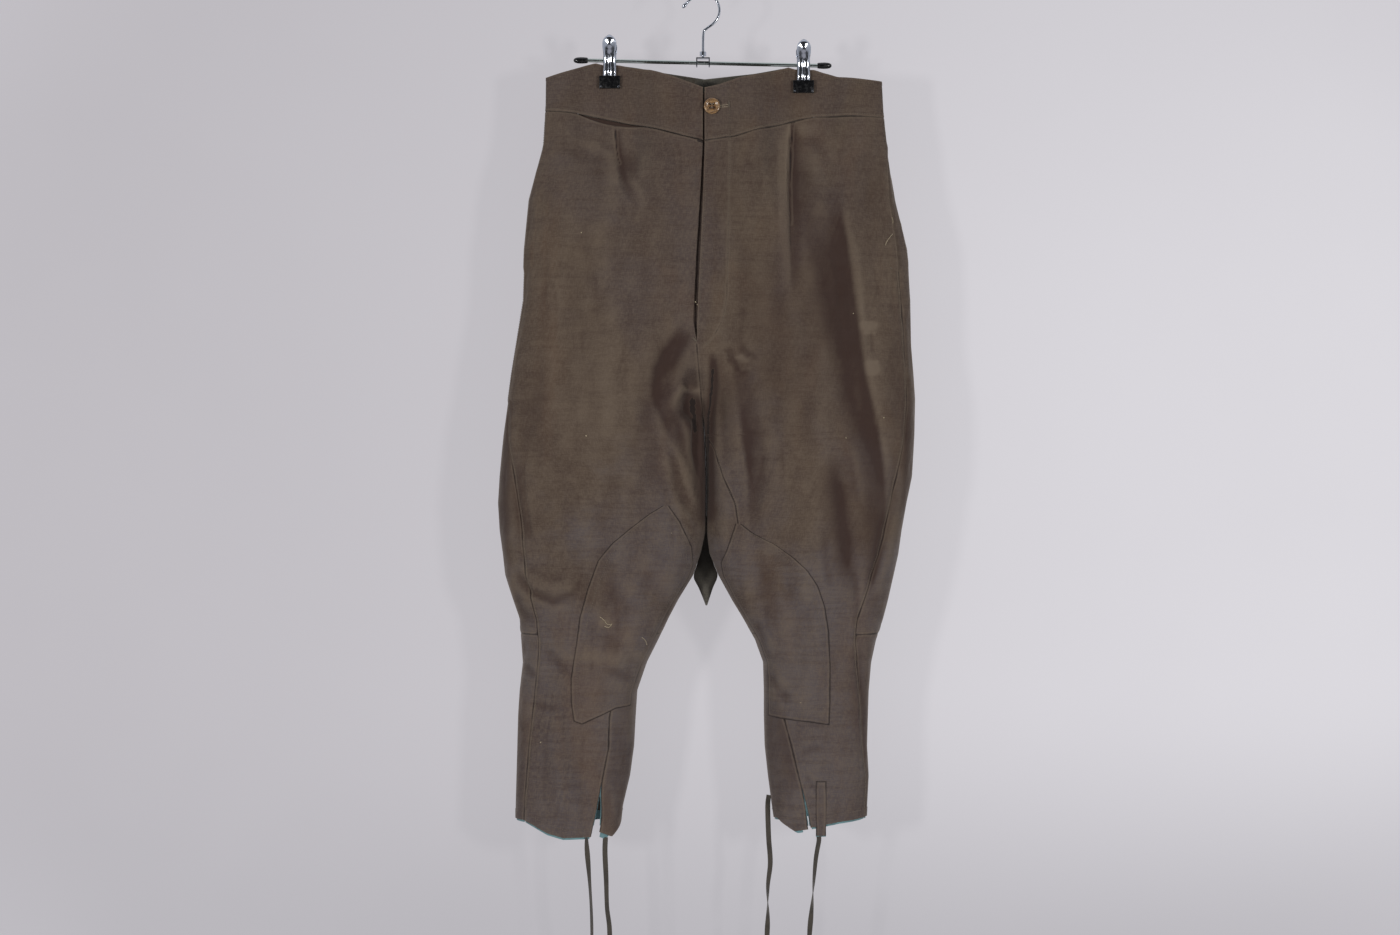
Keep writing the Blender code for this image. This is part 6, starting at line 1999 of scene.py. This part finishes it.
def seat_fold():
    """The small end of the seat that shows below the fork, between the legs."""
    levels = np.linspace(SEAT_FOLD[0][0], SEAT_FOLD[-1][0], SEAT_FOLD_ROWS)
    part = np.linspace(0.0, 1.0, SEAT_FOLD_COLUMNS)[None, :]
    low, high = (column(SEAT_FOLD, place, levels)[:, None] for place in (1, 2))
    x = low + (high - low) * part
    drops = np.broadcast_to(levels[:, None], x.shape)
    bulge = SEAT_FOLD_BULGE * np.sin(math.pi * part) * ease(*SEAT_FOLD_BULGED, drops)
    y = SEAT_FOLD_PLACE - bulge + SEAT_FOLD_SLOPE * (drops - SEAT_FOLD_LEVEL)
    y = y - SEAT_FOLD_TUCK * ease(*SEAT_FOLD_TUCKED, drops)
    points = np.stack((x, y, -drops), axis=-1)
    normals = grid_normals(points)
    normals *= -np.sign(normals[..., 1:2])
    thing = shell("seat_fold", points, normals, SEAT_FOLD_WALL, LINING, "cloth", flat_map(x, drops))
    # Painted shade, strongest at the sides and upper end and weaker in the lower middle.
    less_shaded = ease(*SEAT_FOLD_LESS_SHADED, drops) * ease(0.0, 0.3, part) * ease(1.0, 0.7, part)
    dress(thing, 0.0, SEAT_FOLD_SHADE - SEAT_FOLD_SHADE_LOSS * less_shaded)
    return thing


# The wall behind the hanger and the floor, in metres: half width, lowest and highest edge.
WALL_PLACE = 0.088
WALL_HALF_WIDTH = 2.2
WALL_ENDS = (-2.2, 1.0)
FLOOR_HALF_WIDTH = 2.5
FLOOR_LEVEL = -1.42
# Where each of them fades away: its middle and its reach along both axes.
WALL_FADE = ((0.0, -0.6), (1.6, 1.25))
FLOOR_FADE = ((0.0, 0.0), (1.8, 1.8))
# How much of the wall's tone glows evenly as painted light instead of taking the lamps' light, and
# its tones, which grade it as painted light.
WALL_GLOW = 0.76
WALL_COLOUR = linear(205, 202, 207)
WALL_RIGHT, WALL_LEFT = linear(191, 188, 193), linear(221, 219, 224)
WALL_LOW, WALL_HIGH = linear(182, 180, 185), linear(186, 183, 188)
# Soft light of the room, from below and from above.
ROOM_LIGHT = (0.18, 0.62)
ROOM_COLOUR = linear(226, 228, 236)
ROOM_SEEN = linear(203, 200, 206)
# What shiny metal sees: dim in the middle, windows at both sides and a strip above.
WINDOW_EDGES = (0.56, 0.7)
WINDOW_LIGHT = (0.04, 0.75)
STRIP_EDGE = 0.72
# Studio lights: name, place, width and power.
LAMPS = (
    ("light_right", (-1.7, -2.4, -0.55), 0.28, 34.5),
    ("light_left", (1.7, -2.4, -0.45), 0.28, 31.5),
    ("light_back_right", (-1.8, 2.4, 0.2), 1.2, 30.0),
    ("light_back_left", (1.8, 2.4, 0.2), 1.2, 36.0),
)
LAMP_COLOUR = (1.0, 0.985, 0.97)
LAMP_HEIGHT = 1.4
LAMP_AIM = (0.0, 0.0, -0.6)


def stage_material(name, centre, reach, upright):
    """A pale stage surface that fades away towards its border."""
    shader = Shader(name)
    place = shader.place()
    grain = shader.noise(place, 180.0, 4.0)
    blotch = shader.noise(place, 2.5, 3.0)
    axes = shader.axes(place)
    # The tone is painted light: lighter towards +X, darker low and high, on the wall and the floor.
    tone = shader.mix(shader.spread(axes["X"], -0.9, 0.9), WALL_RIGHT, WALL_LEFT)
    tone = shader.mix(shader.spread(axes["Z"], -0.85, -1.3, 0.0, 0.95), tone, WALL_LOW)
    tone = shader.mix(shader.spread(axes["Z"], -0.4, 0.1, 0.0, 0.25), tone, WALL_HIGH)
    tone = shader.mix(shader.spread(blotch, 0.3, 0.7, 0.0, 0.1), tone, WALL_COLOUR)
    squares = []
    for axis, middle, size in zip(("X", "Z" if upright else "Y"), centre, reach):
        part = shader.value("DIVIDE", shader.value("SUBTRACT", axes[axis], middle), size)
        squares.append(shader.value("POWER", part, 2.0))
    far = shader.value("SQRT", shader.value("ADD", *squares))
    fade = shader.spread(far, 0.6, 1.0)
    if upright:
        behind = shader.node("NewGeometry", {}).outputs["Backfacing"]
        fade = shader.value("MAXIMUM", fade, behind)
    bump = shader.node("Bump", {"Height": grain, "Distance": 0.0006, "Strength": 0.2}).outputs[0]
    lit = shader.node("BsdfDiffuse", {"Color": tone, "Normal": bump}).outputs[0]
    # Part of the surface glows as painted light, which keeps its shadows weak.
    even = shader.node("Emission", {"Color": tone}).outputs[0]
    solid = shader.node("MixShader", {0: WALL_GLOW, 1: lit, 2: even}).outputs[0]
    clear = shader.node("BsdfTransparent", {}).outputs[0]
    mixed = shader.node("MixShader", {0: fade, 1: solid, 2: clear}).outputs[0]
    shader.node("OutputMaterial", {"Surface": mixed})
    return shader.material


def plane(name, corners, material):
    """A flat stage surface."""
    mesh = bpy.data.meshes.new(name)
    mesh.from_pydata(corners, [], [(0, 1, 2, 3)])
    mesh.materials.append(material)
    thing = bpy.data.objects.new(name, mesh)
    bpy.context.scene.collection.objects.link(thing)
    thing.visible_shadow = False
    return thing


def lamp(name, place, width, power):
    """A soft studio light that the camera doesn't see."""
    data = bpy.data.lights.new(name, "AREA")
    data.shape = "RECTANGLE"
    data.size, data.size_y = width, width * LAMP_HEIGHT
    data.energy = power
    data.color = LAMP_COLOUR
    thing = bpy.data.objects.new(name, data)
    thing.location = place
    bpy.context.scene.collection.objects.link(thing)
    x, y, z = np.subtract(LAMP_AIM, place)
    tilt = math.atan2(math.hypot(x, y), -z)
    thing.rotation_euler = (tilt, 0.0, math.atan2(y, x) - math.pi / 2)
    thing.visible_camera = False


def room():
    """A pale surrounding: even to the camera, and with bright windows to shiny metal."""
    world = bpy.data.worlds.new("surrounding")
    bpy.context.scene.world = world
    nodes = Nodes(world)
    path = nodes.node("LightPath", {}).outputs
    axes = nodes.axes(nodes.place("Generated"))
    soft = nodes.spread(axes["Z"], -0.7, 0.8, *ROOM_LIGHT, shape="LINEAR")
    beside = nodes.value("ABSOLUTE", axes["X"])
    windows = nodes.spread(beside, *WINDOW_EDGES, *WINDOW_LIGHT, shape="LINEAR")
    strip = nodes.value("GREATER_THAN", axes["Z"], STRIP_EDGE)
    bright = nodes.value("MAXIMUM", windows, strip)
    strength = nodes.node("Mix", {0: path["Is Glossy Ray"], 2: soft, 3: bright}).outputs[0]
    given = nodes.node("Background", {"Color": ROOM_COLOUR, "Strength": strength}).outputs[0]
    seen = nodes.node("Background", {"Color": ROOM_SEEN}).outputs[0]
    mixed = nodes.node("MixShader", {0: path["Is Camera Ray"], 1: given, 2: seen}).outputs[0]
    nodes.tree.links.new(mixed, nodes.tree.nodes.new("ShaderNodeOutputWorld").inputs["Surface"])


def stage():
    """Floor, wall, soft lights and a pale surrounding."""
    side, (low, high) = WALL_HALF_WIDTH, WALL_ENDS
    corners = ((-side, low), (side, low), (side, high), (-side, high))
    wall = plane("wall", [(x, WALL_PLACE, z) for x, z in corners],
                 stage_material("wall_paint", *WALL_FADE, True))
    wall.visible_diffuse = False
    side = FLOOR_HALF_WIDTH
    corners = ((-side, -side), (side, -side), (side, side), (-side, side))
    plane("floor", [(x, y, FLOOR_LEVEL) for x, y in corners],
          stage_material("floor_paint", *FLOOR_FADE, False))
    room()
    for name, place, width, power in LAMPS:
        lamp(name, place, width, power)
    bpy.context.scene.view_settings.view_transform = "Standard"
    bpy.context.scene.view_settings.look = "None"


def build():
    """Make every visible piece."""
    camera()
    ties()
    fronts, faces, backs = ({leg: Cloth(leg, kind) for leg in (RIGHT, LEFT)}
                            for kind in ("front", "face", "back"))
    pieces = []
    for leg in (RIGHT, LEFT):
        pieces += [front_panel(leg, fronts[leg]), back_panel(leg, backs[leg]),
                   calf_panel(leg, backs[leg]), band_front(leg, fronts[leg]),
                   knee_patch(leg, faces[leg])]
    pieces += [band_back(backs), fly_underlap(faces), watch_pocket(faces[RIGHT]), seat_fold(),
               slit_tab(faces[LEFT])]
    for leg in (RIGHT, LEFT):
        sewing(leg, fronts, faces, backs)
    buttonhole(faces[LEFT])
    threads(faces)
    edge_tapes(fronts, backs)
    slit_tapes(fronts, backs)
    waist_button()
    hanger()
    stage()


build()
